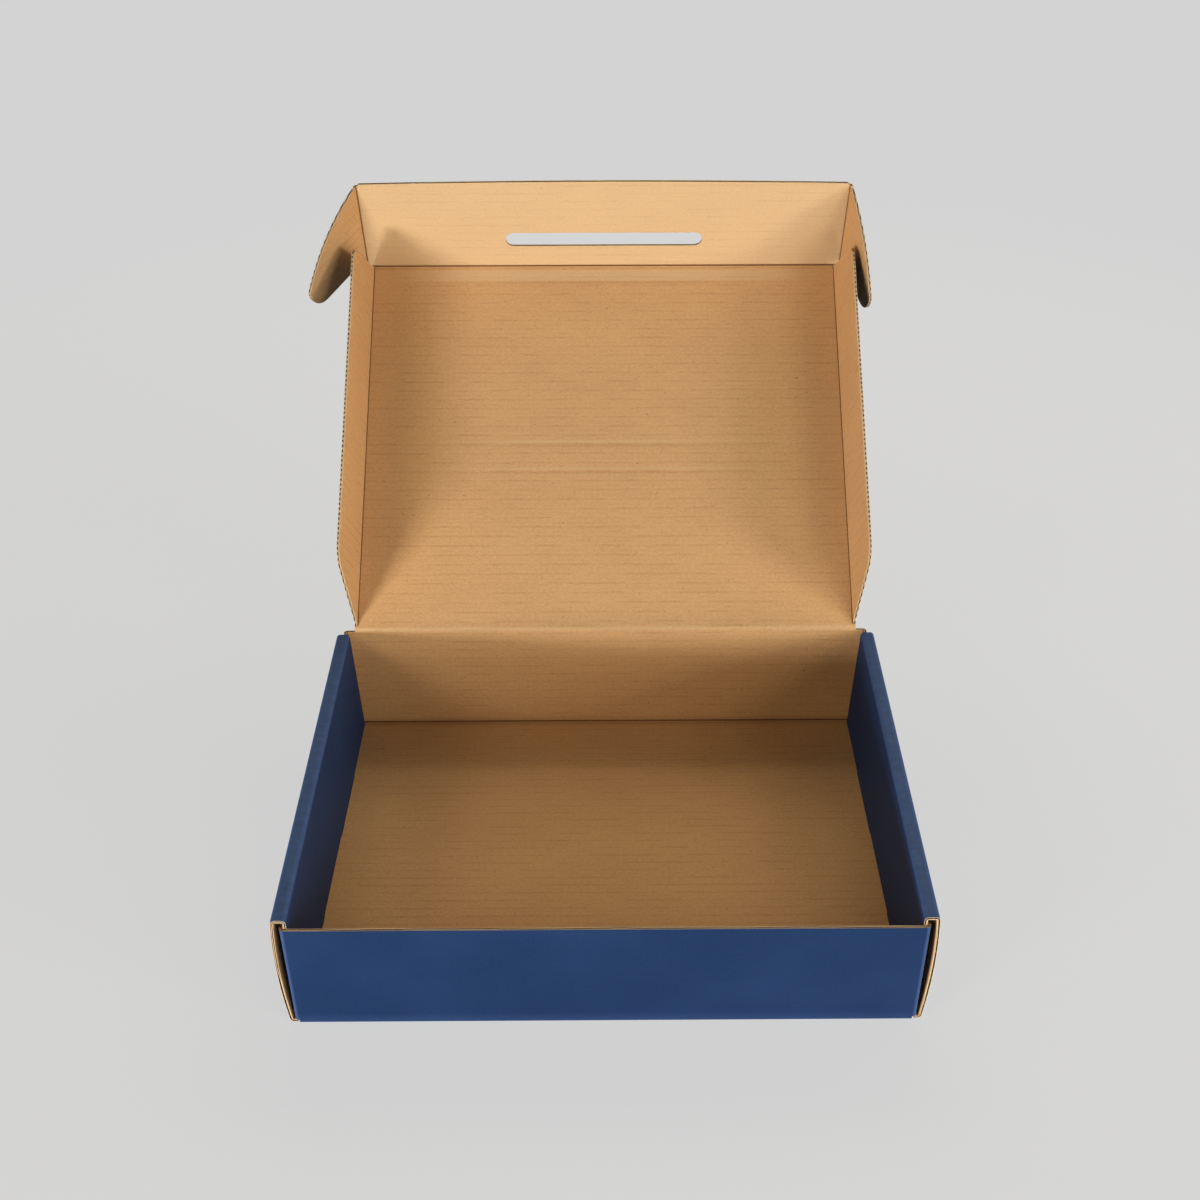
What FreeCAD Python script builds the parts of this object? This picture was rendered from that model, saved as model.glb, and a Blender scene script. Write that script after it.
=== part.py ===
"""Corrugated mailer box with a tuck-in lid, standing open.

One die-cut blank of single-wall board is folded into a tray with rolled-over side walls
and a hinged lid. The lid carries two side wings and a front tuck flap with a hand slot,
and the tuck flap carries an ear at each end.

Frame: millimetres, +Z up, +Y from the front wall to the hinge, +X to the right.
The origin is the centre of the tray's underside.
"""
import FreeCAD, Part
import math
import os
from FreeCAD import Placement, Rotation, Vector

# Board
board = 1.6                   # thickness of the corrugated board
bend_radius = 1.5             # radius of a fold, at mid thickness
fold_gap = 0.3                # air between the two sides of a hinged fold
wall_gap = 0.3                # air between boards that lie side by side

# Tray
tray_depth = 245.4            # outer faces of front and back walls
tray_base_width = 315.4       # outer faces of the side walls at the floor
side_wall_flare = 2.3         # how far each side wall stands further out at the rim
side_wall_height = 69.4       # underside of the tray to the top of the rim
side_wall_bulge = 1.5         # outward bow of the outer side wall
rim_radius = 2.6              # radius of the two rim folds, at mid thickness
rim_land = 7.6                # width of the flat top of the rolled wall, outside to inside
front_wall_height = 64.4
hinge_height = 70.3           # height of the lid's fold, at mid thickness
rim_front_setback = 0.2       # rim's front end behind the front wall's inner face
rim_back_setback = 2.9        # rim's back end ahead of the back wall's inner face
inner_foot_lean_back = 3.3    # inner wall's foot inboard of its top, at the back end
inner_foot_lean_front = 1.0   # the same at the front end
inner_foot_clearance = 0.3    # inner wall's lower edge above the floor

# Corner flaps, trapped inside the rolled side walls
corner_flap_length = 72.0
corner_flap_height = 63.2
corner_flap_slope = 7.0       # how far the flap's long edges taper towards its free end
corner_flap_floor_gap = 1.4   # flap's lower edge above the floor
corner_flap_clearance = 1.2   # flap's outer face inboard of the side wall, at the floor
wall_end_flare = 1.1          # how much each wall end leans outward from foot to top

# Locking tabs on the inner walls, and their slots in the floor
tab_length = 54.0
tab_centres = (42.5, -75.5)   # places along the wall
tab_tip_height = 0.2          # tab's tip above the underside of the tray
tab_slot_clearance = 0.5

# Lid
lid_angle = 140.6             # opening at rest, measured from closed
lid_front_gap = 1.2           # closed tuck flap's outer face behind the front wall
lid_hinge_side_gap = 3.8      # wing fold inboard of the rolled wall, at the hinge
lid_front_side_gap = 5.8      # the same at the front fold

# Wings
wing_width = 48.0
wing_angle_left = 83.8        # fold at rest, measured from flat
wing_angle_right = 84.3
wing_hinge_start = 2.5        # wing's fold begins this far from the hinge
wing_front_end = 1.4          # wing's fold stops this far from the lid's front fold
wing_hinge_slant = 27.0       # slant of the end near the hinge, along the fold
wing_front_slant = 12.5       # slant of the end near the front fold, along the fold
wing_hinge_corner = 16.0
wing_front_corner = 6.0

# Tuck flap
tuck_angle = 70.0             # fold at rest, measured from flat
tuck_height = 64.5            # at the ends
tuck_crown = 1.8              # extra height in the middle of the free edge
tuck_shoulder = 8.0           # height over which the flap widens from the lid to its ears
tuck_corner = 1.2
slot_length = 123.0
slot_height = 10.6
slot_centre = 21.8            # above the lid's front fold

# Ears
ear_angle_left = 61.0         # fold at rest, measured from flat
ear_angle_right = 79.0
ear_length = 58.5
ear_tip = 24.0                # where the ear is longest, measured from the front fold
ear_tip_width = 15.0          # from the ear's straight edge to where its tip starts
ear_bow = 6.5                 # how far the long curved side bows out

# Derived places
wall_outer_y = tray_depth / 2
wall_inner_y = wall_outer_y - board
hinge_y = wall_outer_y - board / 2
rim_front_y = -wall_inner_y + rim_front_setback
rim_back_y = wall_inner_y - rim_back_setback
rim_half = tray_base_width / 2 + side_wall_flare
inner_top_half = rim_half - rim_land
lid_length = hinge_y + wall_inner_y - lid_front_gap - board / 2
fold_clear = board / 2 + fold_gap      # fixed edge to the fold's axis
wall_foot_half = tray_base_width / 2 - board - corner_flap_clearance - board / 2
lid_hinge_half = inner_top_half - lid_hinge_side_gap
lid_front_half = inner_top_half - lid_front_side_gap
ear_fold_half = inner_top_half - inner_foot_lean_front - wall_gap - board / 2
wing_angles = {"left": wing_angle_left, "right": wing_angle_right}
ear_angles = {"left": ear_angle_left, "right": ear_angle_right}
SIDES = {"left": -1, "right": 1}


def bent_edges(points, radii, offset):
    """Edges of a bent line, moved sideways by offset (left is positive).

    points are (a, b) corners and radii the bend at each inner corner, so every fold
    keeps its own centre and the board keeps its thickness round it.
    """
    pieces = []
    start = None
    for index in range(1, len(points)):
        a0, b0 = points[index - 1]
        a1, b1 = points[index]
        run = math.hypot(a1 - a0, b1 - b0)
        direction = ((a1 - a0) / run, (b1 - b0) / run)
        normal = (-direction[1], direction[0])
        if start is None:
            start = (a0 + normal[0] * offset, b0 + normal[1] * offset)
        if index == len(points) - 1:
            pieces.append((start, None, (a1 + normal[0] * offset, b1 + normal[1] * offset)))
            break
        a2, b2 = points[index + 1]
        next_run = math.hypot(a2 - a1, b2 - b1)
        following = ((a2 - a1) / next_run, (b2 - b1) / next_run)
        turn = math.atan2(direction[0] * following[1] - direction[1] * following[0],
                          direction[0] * following[0] + direction[1] * following[1])
        sign = math.copysign(1.0, turn)
        radius = radii[index - 1]
        reach = radius * math.tan(abs(turn) / 2)
        bend_start = (a1 - direction[0] * reach, b1 - direction[1] * reach)
        centre = (bend_start[0] + normal[0] * sign * radius,
                  bend_start[1] + normal[1] * sign * radius)
        moved = radius - sign * offset
        heading = math.atan2(direction[1], direction[0])
        around = [heading - sign * math.pi / 2 + turn * share for share in (0.0, 0.5, 1.0)]
        arc = [(centre[0] + moved * math.cos(angle), centre[1] + moved * math.sin(angle))
               for angle in around]
        pieces.append((start, None, arc[0]))
        pieces.append((arc[0], arc[1], arc[2]))
        start = arc[2]
    return pieces


def board_wire(points, radii, place):
    """Closed outline of a strip of board bent along a line; place maps (a, b) to space."""
    left = bent_edges(points, radii, board / 2)
    right = bent_edges(points, radii, -board / 2)
    pieces = list(left)
    pieces.append((left[-1][2], None, right[-1][2]))
    pieces.extend((end, middle, begin) for begin, middle, end in reversed(right))
    pieces.append((right[0][0], None, left[0][0]))
    edges = []
    for begin, middle, end in pieces:
        if middle is None:
            edges.append(Part.LineSegment(place(*begin), place(*end)).toShape())
        else:
            edges.append(Part.Arc(place(*begin), place(*middle), place(*end)).toShape())
    return Part.Wire(edges)


def loft(first, second):
    """Solid between two outlines with matching edges."""
    return Part.makeLoft([first, second], True, True)


def box_between(low, high):
    """Box from its lowest to its highest corner."""
    size = [high[axis] - low[axis] for axis in range(3)]
    return Part.makeBox(*size, Vector(*low))


def foot_lean(y):
    """How far the inner wall's foot is inboard of its top at a place along the wall."""
    share = (y - rim_front_y) / (rim_back_y - rim_front_y)
    return inner_foot_lean_front + (inner_foot_lean_back - inner_foot_lean_front) * share


def side_wall_wire(y):
    """Section of the right side wall: floor edge, outer wall, rim, inner wall, tab."""
    middle = board / 2
    foot = tray_base_width / 2 - middle
    top_out = rim_half - middle
    top_in = inner_top_half + middle
    rim = side_wall_height - middle
    bow_height = side_wall_height / 2
    bow = (foot + top_out) / 2 + 2 * side_wall_bulge
    bow_run = bow_height - 2 * bend_radius
    bow_turn = 2 * math.atan(2 * side_wall_bulge / bow_height)
    bow_radius = 0.9 * bow_run / math.tan(bow_turn / 2)
    points = [
        (foot - 2 * bend_radius, middle),
        (foot, middle),
        (bow, bow_height),
        (top_out, rim),
        (top_in, rim),
        (top_in - foot_lean(y), tab_tip_height),
    ]
    radii = [bend_radius, bow_radius, rim_radius, rim_radius]
    return board_wire(points, radii, lambda x, z: Vector(x, y, z))


def right_side_wall():
    """Rolled-over side wall whose inner edge is cut back between its locking tabs."""
    wall = loft(side_wall_wire(rim_front_y), side_wall_wire(rim_back_y))
    lower_edge = board + inner_foot_clearance
    stops = [rim_front_y - 1.0]
    for centre in sorted(tab_centres):
        stops.extend([centre - tab_length / 2, centre + tab_length / 2])
    stops.append(rim_back_y + 1.0)
    reach_in = inner_top_half - inner_foot_lean_back - board
    reach_out = inner_top_half + 1.25 * board
    for begin, end in zip(stops[0::2], stops[1::2]):
        gap = box_between((reach_in, begin, -board), (reach_out, end, lower_edge))
        wall = wall.cut(gap)
    return wall


def tab_slot(centre):
    """Slot in the floor for one locking tab of the right side wall."""
    begin = centre - tab_length / 2 - tab_slot_clearance
    end = centre + tab_length / 2 + tab_slot_clearance
    inboard = inner_top_half - max(foot_lean(begin), foot_lean(end)) - tab_slot_clearance
    outboard = inner_top_half - min(foot_lean(begin), foot_lean(end)) + board + tab_slot_clearance
    return box_between((inboard, begin, -board), (outboard, end, 2 * board))


def end_wall(height, facing):
    """Front (facing -1) or back (facing 1) wall with the corner flaps at its two ends.

    The wall's foot is a straight bend from the floor; above it the wall and its flaps
    are one U in plan that leans slightly outward at the two ends.
    """
    middle = board / 2
    wall_y = facing * (wall_outer_y - middle)
    foot_y = facing * (wall_outer_y - middle - 2 * bend_radius)
    bend_top = board + corner_flap_floor_gap
    straight_half = wall_foot_half - bend_radius
    foot_points = [(foot_y, middle), (wall_y, middle), (wall_y, bend_top)]

    def section(half, z):
        flap_end = facing * (wall_outer_y - corner_flap_length)
        corners = [(half, flap_end), (half, wall_y), (-half, wall_y), (-half, flap_end)]
        return board_wire(corners, [bend_radius, bend_radius], lambda x, y: Vector(x, y, z))

    foot_wire = board_wire(foot_points, [bend_radius], lambda y, z: Vector(-straight_half, y, z))
    foot = Part.Face(foot_wire).extrude(Vector(2 * straight_half, 0, 0))
    top_half = wall_foot_half + wall_end_flare * (height - bend_top) / front_wall_height
    wall = loft(section(wall_foot_half, bend_top), section(top_half, height))
    wall = wall.cut(beyond_corner_flap(facing, height, bend_top))
    return foot.fuse(wall)


def beyond_corner_flap(facing, height, bend_top):
    """What is trimmed off to give a corner flap its tapered outline, seen from the side."""
    root = facing * (wall_inner_y - bend_radius)
    tip = facing * (wall_outer_y - corner_flap_length)
    past = tip - facing
    upper = [(root, height + 1), (root, corner_flap_height),
             (tip, corner_flap_height - corner_flap_slope), (past, height + 1)]
    lower = [(root, bend_top), (tip, bend_top + corner_flap_slope), (past, bend_top - 1)]
    cutters = []
    for corners in (upper, lower):
        points = [Vector(-2 * rim_half, y, z) for y, z in corners]
        face = Part.Face(Part.makePolygon(points + points[:1]))
        cutters.append(face.extrude(Vector(4 * rim_half, 0, 0)))
    return Part.makeCompound(cutters)


def make_tray():
    """Floor, front and back walls, and both rolled side walls, folded from one sheet."""
    floor_half_x = tray_base_width / 2 - board / 2 - 2 * bend_radius
    floor_half_y = wall_outer_y - board / 2 - 2 * bend_radius
    tray = box_between((-floor_half_x, -floor_half_y, 0), (floor_half_x, floor_half_y, board))
    right = right_side_wall()
    left = right.mirror(Vector(0, 0, 0), Vector(1, 0, 0))
    for centre in tab_centres:
        slot = tab_slot(centre)
        tray = tray.cut(slot).cut(slot.mirror(Vector(0, 0, 0), Vector(1, 0, 0)))
    back_height = hinge_height - fold_clear
    tray = tray.fuse([right, left, end_wall(front_wall_height, -1), end_wall(back_height, 1)])
    return tray.removeSplitter()


def fold_edge(start, end, into):
    """Half-round edge of a hinged panel, along its fold axis and on the far side of into."""
    start, end, into = Vector(*start), Vector(*end), Vector(*into)
    along = end - start
    outward = into.cross(along).cross(along)
    outward.normalize()
    if outward.dot(into) > 0:
        outward = outward.negative()
    up = Vector(0, 0, board / 2)
    arc = Part.Arc(start + up, start + outward * (board / 2), start - up).toShape()
    chord = Part.LineSegment(start - up, start + up).toShape()
    return Part.Face(Part.Wire([arc, chord])).extrude(along)


def panel(edges):
    """Flat board cut to an outline that is drawn in the plane of its mid thickness."""
    wire = Part.Wire(Part.__sortEdges__(edges))
    wire.translate(Vector(0, 0, -board / 2))
    return Part.Face(wire).extrude(Vector(0, 0, board))


def outline(points, corner_radii):
    """Closed outline through (x, y) points with a round at each named corner."""
    count = len(points)
    ends = []
    edges = []
    for index, point in enumerate(points):
        here = Vector(*point, 0)
        before = Vector(*points[index - 1], 0) - here
        after = Vector(*points[(index + 1) % count], 0) - here
        radius = corner_radii.get(index, 0)
        if not radius:
            ends.append((here, here))
            continue
        before.normalize()
        after.normalize()
        half = before.getAngle(after) / 2
        reach = radius / math.tan(half)
        centre_way = before + after
        centre_way.normalize()
        middle = here + centre_way * (radius / math.sin(half) - radius)
        ends.append((here + before * reach, here + after * reach))
        edges.append(Part.Arc(ends[-1][0], middle, ends[-1][1]).toShape())
    for index in range(count):
        start, end = ends[index - 1][1], ends[index][0]
        edges.append(Part.LineSegment(start, end).toShape())
    return edges


def lid_half_at(along):
    """Half the width between the wing folds, at a distance from the hinge."""
    return lid_hinge_half + (lid_front_half - lid_hinge_half) * along / lid_length


def make_lid():
    """Lid panel, flat in its own plane with the hinge axis on the X axis."""
    front = lid_length - fold_clear
    back_half = lid_half_at(0) - fold_clear
    front_half = lid_half_at(front) - fold_clear
    corners = [(-back_half, 0), (back_half, 0), (front_half, front), (-front_half, front)]
    edge = fold_edge((-back_half, 0, 0), (back_half, 0, 0), (0, 1, 0))
    return panel(outline(corners, {})).fuse(edge).removeSplitter()


def make_wing(side):
    """Side wing with slanted ends and rounded free corners, flat in the lid's plane."""
    begin, stop = wing_hinge_start, lid_length - wing_front_end
    corners = [
        (lid_half_at(begin), begin),
        (lid_half_at(stop), stop),
        (lid_half_at(stop) + wing_width, stop - wing_front_slant),
        (lid_half_at(begin) + wing_width, begin + wing_hinge_slant),
    ]
    placed = [(side * x, y) for x, y in corners]
    fold = fold_edge((*placed[0], 0), (*placed[1], 0), (side, 0, 0))
    wing = panel(outline(placed, {2: wing_front_corner, 3: wing_hinge_corner}))
    return wing.fuse(fold).removeSplitter()


def hand_slot():
    """Round-ended slot through the tuck flap."""
    radius = slot_height / 2
    half = slot_length / 2
    y = lid_length + slot_centre
    corners = [(-half, y - radius), (half, y - radius), (half, y + radius), (-half, y + radius)]
    rounds = {index: radius * 0.999 for index in range(4)}
    return panel(outline(corners, rounds))


def make_tuck_flap():
    """Tuck flap with shoulders, a crowned free edge and the hand slot, flat with the lid."""
    base = lid_length
    base_half = lid_half_at(lid_length) - fold_clear
    side_half = ear_fold_half - fold_clear
    top = base + tuck_height
    bevel = tuck_corner
    left = [Vector(-side_half + bevel, top, 0), Vector(-side_half, top - bevel, 0),
            Vector(-side_half, base + tuck_shoulder, 0), Vector(-base_half, base, 0)]
    right = [Vector(-point.x, point.y, 0) for point in reversed(left)]
    rim = left + right
    edges = [Part.LineSegment(rim[i], rim[i + 1]).toShape() for i in range(len(rim) - 1)]
    crown = Vector(0, top + tuck_crown, 0)
    edges.append(Part.Arc(rim[-1], crown, rim[0]).toShape())
    fold = fold_edge((-base_half, base, 0), (base_half, base, 0), (0, 1, 0))
    return panel(edges).cut(hand_slot()).fuse(fold).removeSplitter()


def make_ear(side):
    """Ear with a straight edge, a rounded tip and a long bowed side, flat with the flap."""
    fold_x = ear_fold_half
    low = lid_length + tuck_shoulder
    high = lid_length + tuck_height - tuck_corner
    tip = Vector(fold_x + ear_length, lid_length + ear_tip, 0)
    root = Vector(fold_x, high, 0)
    chord = tip - root
    across = Vector(-chord.y, chord.x, 0)
    across.normalize()
    bowed = root + chord * 0.5 + across * ear_bow
    straight_end = Vector(fold_x + ear_length - ear_tip_width, low, 0)
    nose = Vector(fold_x + ear_length - ear_tip_width / 4, low + (ear_tip - tuck_shoulder) / 3, 0)
    edges = [
        Part.LineSegment(Vector(fold_x, low, 0), straight_end).toShape(),
        Part.Arc(straight_end, nose, tip).toShape(),
        Part.Arc(tip, bowed, root).toShape(),
        Part.LineSegment(root, Vector(fold_x, low, 0)).toShape(),
    ]
    ear = panel(edges).fuse(fold_edge((fold_x, low, 0), (fold_x, high, 0), (1, 0, 0)))
    if side < 0:
        ear = ear.mirror(Vector(0, 0, 0), Vector(1, 0, 0))
    return ear.removeSplitter()


def folded(shape, start, end, angle):
    """Copy of a shape turned by angle about the line from start to end."""
    turned = shape.copy()
    turned.rotate(Vector(*start), Vector(*end) - Vector(*start), angle)
    return turned


def fold_wing(shape, side, angle):
    """Fold a flat wing towards the inner side of the lid."""
    hinge_end = (side * lid_half_at(0), 0, 0)
    front_end = (side * lid_half_at(lid_length), lid_length, 0)
    return folded(shape, hinge_end, front_end, -side * angle)


def fold_ear(shape, side, angle):
    """Fold a flat ear towards the inner side of the tuck flap."""
    low = (side * ear_fold_half, lid_length, 0)
    high = (side * ear_fold_half, lid_length + tuck_height, 0)
    return folded(shape, low, high, -side * angle)


def fold_tuck(shape, angle):
    """Fold the tuck flap, and what it carries, about the lid's front fold."""
    return folded(shape, (-1, lid_length, 0), (1, lid_length, 0), angle)


def place_lid(shape, angle):
    """Put a shape from the lid's plane into the box, with the lid opened by angle."""
    placed = shape.copy()
    hinge = Placement(Vector(0, hinge_y, hinge_height), Rotation(Vector(1, 0, 0), 180 - angle))
    placed.Placement = hinge.multiply(placed.Placement)
    return placed


def lid_assembly(lid_open, wings, tuck, ears):
    """Every hinged panel, folded to the given angles and placed on the tray."""
    flat = {"lid": make_lid(), "tuck_flap": fold_tuck(make_tuck_flap(), tuck)}
    for name, side in SIDES.items():
        flat["lid_wing_" + name] = fold_wing(make_wing(side), side, wings[name])
        flat["ear_" + name] = fold_tuck(fold_ear(make_ear(side), side, ears[name]), tuck)
    return {name: place_lid(shape, lid_open) for name, shape in flat.items()}


def main():
    """Build every panel at rest and write one file for each."""
    os.makedirs("parts", exist_ok=True)
    parts = {"tray": make_tray()}
    parts.update(lid_assembly(lid_angle, wing_angles, tuck_angle, ear_angles))
    for name, shape in parts.items():
        solid = shape.Solids[0] if len(shape.Solids) == 1 else shape
        solid.exportStep("parts/" + name + ".step")
        print(name, len(shape.Solids), "solid,", round(shape.Volume), "mm3, valid", shape.isValid())


if __name__ == "__main__":
    main()
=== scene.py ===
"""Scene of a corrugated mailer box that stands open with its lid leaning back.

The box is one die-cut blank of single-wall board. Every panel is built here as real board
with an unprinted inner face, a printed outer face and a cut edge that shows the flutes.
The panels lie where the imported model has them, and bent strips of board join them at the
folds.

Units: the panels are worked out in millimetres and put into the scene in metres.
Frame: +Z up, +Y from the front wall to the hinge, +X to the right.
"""

import logging
import math
from collections.abc import Sequence
from dataclasses import dataclass, field
from enum import Enum

import bpy
import numpy as np
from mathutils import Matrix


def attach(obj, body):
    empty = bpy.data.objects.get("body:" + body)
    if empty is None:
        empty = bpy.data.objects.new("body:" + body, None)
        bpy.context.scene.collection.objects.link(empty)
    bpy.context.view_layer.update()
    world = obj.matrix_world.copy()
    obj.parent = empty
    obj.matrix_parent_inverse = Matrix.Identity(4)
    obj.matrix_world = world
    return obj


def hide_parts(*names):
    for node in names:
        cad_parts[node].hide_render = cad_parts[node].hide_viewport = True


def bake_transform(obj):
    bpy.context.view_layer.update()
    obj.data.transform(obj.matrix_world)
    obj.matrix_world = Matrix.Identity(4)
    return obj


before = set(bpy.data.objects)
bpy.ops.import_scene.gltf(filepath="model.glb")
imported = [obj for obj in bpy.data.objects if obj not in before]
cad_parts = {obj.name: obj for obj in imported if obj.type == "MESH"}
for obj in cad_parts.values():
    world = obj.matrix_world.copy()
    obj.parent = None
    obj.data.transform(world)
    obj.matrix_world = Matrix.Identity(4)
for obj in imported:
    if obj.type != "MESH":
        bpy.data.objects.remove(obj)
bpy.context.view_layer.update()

log = logging.getLogger("mailer_box")

Array = np.ndarray
Pair = tuple[float, float]
Triple = tuple[float, float, float]
Colour = tuple[float, float, float]

MM = 0.001
SHARP_ANGLE = math.radians(40)
SIDES = {"left": -1, "right": 1}
# Tints of the lamps
COOL: Colour = (0.98, 1.01, 1.10)
WARM: Colour = (1.04, 0.98, 0.86)


class Face(Enum):
    """The three kinds of surface that a piece of board shows."""

    UNPRINTED = 0
    PRINTED = 1
    CUT = 2


def to_linear(red: int, green: int, blue: int) -> Colour:
    """Scene-linear colour of a display colour, by the sRGB curve.

    Args:
        red: Red, 0 to 255.
        green: Green, 0 to 255.
        blue: Blue, 0 to 255.

    Returns:
        The three linear values, 0 to 1.
    """
    shares = np.array([red, green, blue]) / 255
    linear = np.where(shares <= 0.04045, shares / 12.92, ((shares + 0.055) / 1.055) ** 2.4)
    return tuple(float(value) for value in linear)


def spread(stops: Sequence[float], step: float) -> Array:
    """Places from the first stop to the last that include every stop.

    Args:
        stops: Rising places that must be kept.
        step: The longest distance wanted between neighbours.

    Returns:
        Each stretch between two stops, divided evenly.
    """
    parts = []
    for begin, end in zip(stops[:-1], stops[1:]):
        count = max(1, math.ceil((end - begin) / step))
        parts.append(np.linspace(begin, end, count, endpoint=False))
    parts.append(np.array([stops[-1]]))
    return np.concatenate(parts)


def circle_through(first: Pair, second: Pair, third: Pair) -> tuple[Array, float]:
    """Circle through three places, from the two chords' perpendicular bisectors.

    Args:
        first: One place on the circle.
        second: Another.
        third: A third one, not in line with them.

    Returns:
        The centre and the radius.
    """
    one, two, three = (np.array(place, float) for place in (first, second, third))
    chords = np.array([two - one, three - two])
    middles = np.array([(one + two) / 2, (two + three) / 2])
    centre = np.linalg.solve(chords, (chords * middles).sum(axis=1))
    return centre, float(np.linalg.norm(one - centre))


@dataclass
class Sheet:
    """A net of quads on the flat blank.

    Attributes:
        flat: Each corner's place on the blank in millimetres: along the flutes, across them.
        quads: Corner numbers of each quad, turned to run anticlockwise on the blank.
    """

    flat: Array
    quads: Array

    def __post_init__(self) -> None:
        """Turn round the quads that run clockwise, told by the sign of their area."""
        corners = self.flat[self.quads]
        one = corners[:, 2] - corners[:, 0]
        two = corners[:, 3] - corners[:, 1]
        clockwise = one[:, 0] * two[:, 1] - one[:, 1] * two[:, 0] < 0
        self.quads[clockwise] = self.quads[clockwise][:, ::-1]

    @classmethod
    def from_grid(cls, flat: Array, keep: Array | None = None, closed: bool = False) -> "Sheet":
        """Sheet whose quads are the cells of a grid.

        Args:
            flat: Blank places, rows by columns by two.
            keep: For each cell, whether the board is there.
            closed: Whether the last column joins the first again.

        Returns:
            The sheet, with its corners numbered row by row.
        """
        rows, columns = flat.shape[:2]
        number = np.arange(rows * columns).reshape(rows, columns)
        beside = np.roll(number, -1, axis=1) if closed else number[:, 1:]
        here = number if closed else number[:, :-1]
        quads = np.stack([here[:-1], beside[:-1], beside[1:], here[1:]], axis=-1)
        chosen = quads.reshape(-1, 4) if keep is None else quads[keep]
        return cls(flat.reshape(-1, 2), chosen.copy())

    def border(self) -> Array:
        """The net's border: the directed quad edges that no second quad shares.

        Returns:
            Two corner numbers for each edge.
        """
        edges = np.stack([self.quads, np.roll(self.quads, -1, axis=1)], axis=-1).reshape(-1, 2)
        low, high = edges.min(axis=1), edges.max(axis=1)
        key = low.astype(np.int64) * len(self.flat) + high
        _, inverse, count = np.unique(key, return_inverse=True, return_counts=True)
        return edges[count[inverse] == 1]


@dataclass
class Surface:
    """Where a sheet's corners lie in the box, in millimetres.

    Attributes:
        middle: Places at mid thickness.
        inward: Unit vectors from the printed face to the unprinted one.
        inner: Distance from mid thickness to the unprinted face.
        outer: Distance from mid thickness to the printed face.
        shading_and_wear: Painted shade and highlight of the folds, and the printed face's rubbing
            there: towards 1 where the unprinted face is stretched over a ridge and gets painted
                highlight, towards -1 where it is pressed into a fold and gets painted shade.
        paling_and_highlight: How far the unprinted paper is paled there as a painted highlight, from
            0 to 1.
    """

    middle: Array
    inward: Array
    inner: Array
    outer: Array
    shading_and_wear: Array
    paling_and_highlight: Array | float = 0.0

    @classmethod
    def even(cls, middle: Array, inward: Array, board: float, shading_and_wear: Array | None = None) -> "Surface":
        """Surface of board that is as thick everywhere.

        Args:
            middle: Places at mid thickness, in any grid shape.
            inward: Inward vectors in the same shape.
            board: Thickness.
            shading_and_wear: Painted fold shading and rubbing in the grid's shape, or None for board
                without any.

        Returns:
            The surface, as plain lists of rows.
        """
        places = middle.reshape(-1, 3)
        half = np.full(len(places), board / 2)
        shading_wear = np.zeros(len(places)) if shading_and_wear is None else shading_and_wear.reshape(-1)
        return cls(places, inward.reshape(-1, 3), half, half, shading_wear)


@dataclass(frozen=True)
class Plane:
    """The plane in which a flat stretch of the blank lies.

    Attributes:
        origin: Where the blank's zero is.
        right: Direction of the flutes.
        up: Direction across the flutes.
    """

    origin: Array
    right: Array
    up: Array

    @property
    def inward(self) -> Array:
        """Unit vector out of the unprinted face."""
        return np.cross(self.right, self.up)

    def place(self, flat: Array) -> Array:
        """Places in the box of blank places, given as (..., 2) and returned as (..., 3)."""
        return self.origin + flat[..., :1] * self.right + flat[..., 1:] * self.up

    def surface(self, sheet: Sheet, board: float) -> Surface:
        """Even board that lies in this plane.

        Args:
            sheet: The net on the blank.
            board: Thickness.

        Returns:
            The surface of the flat panel.
        """
        middle = self.place(sheet.flat)
        return Surface.even(middle, np.broadcast_to(self.inward, middle.shape), board)

    def folded(self, start: Pair, end: Pair, angle: float) -> "Plane":
        """This plane turned about a line that is drawn on it, by Rodrigues' rotation.

        Args:
            start: Blank place where the line begins.
            end: Blank place where it ends.
            angle: Turn in degrees, right-handed about the line.

        Returns:
            The turned plane.
        """
        pivot = self.place(np.array(start))
        axis = self.place(np.array(end)) - pivot
        axis = axis / np.linalg.norm(axis)
        turn = math.radians(angle)

        def turned(vector: Array) -> Array:
            """A vector turned about the line."""
            along = axis * (axis @ vector) * (1 - math.cos(turn))
            return vector * math.cos(turn) + np.cross(axis, vector) * math.sin(turn) + along

        return Plane(pivot + turned(self.origin - pivot), turned(self.right), turned(self.up))


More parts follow.
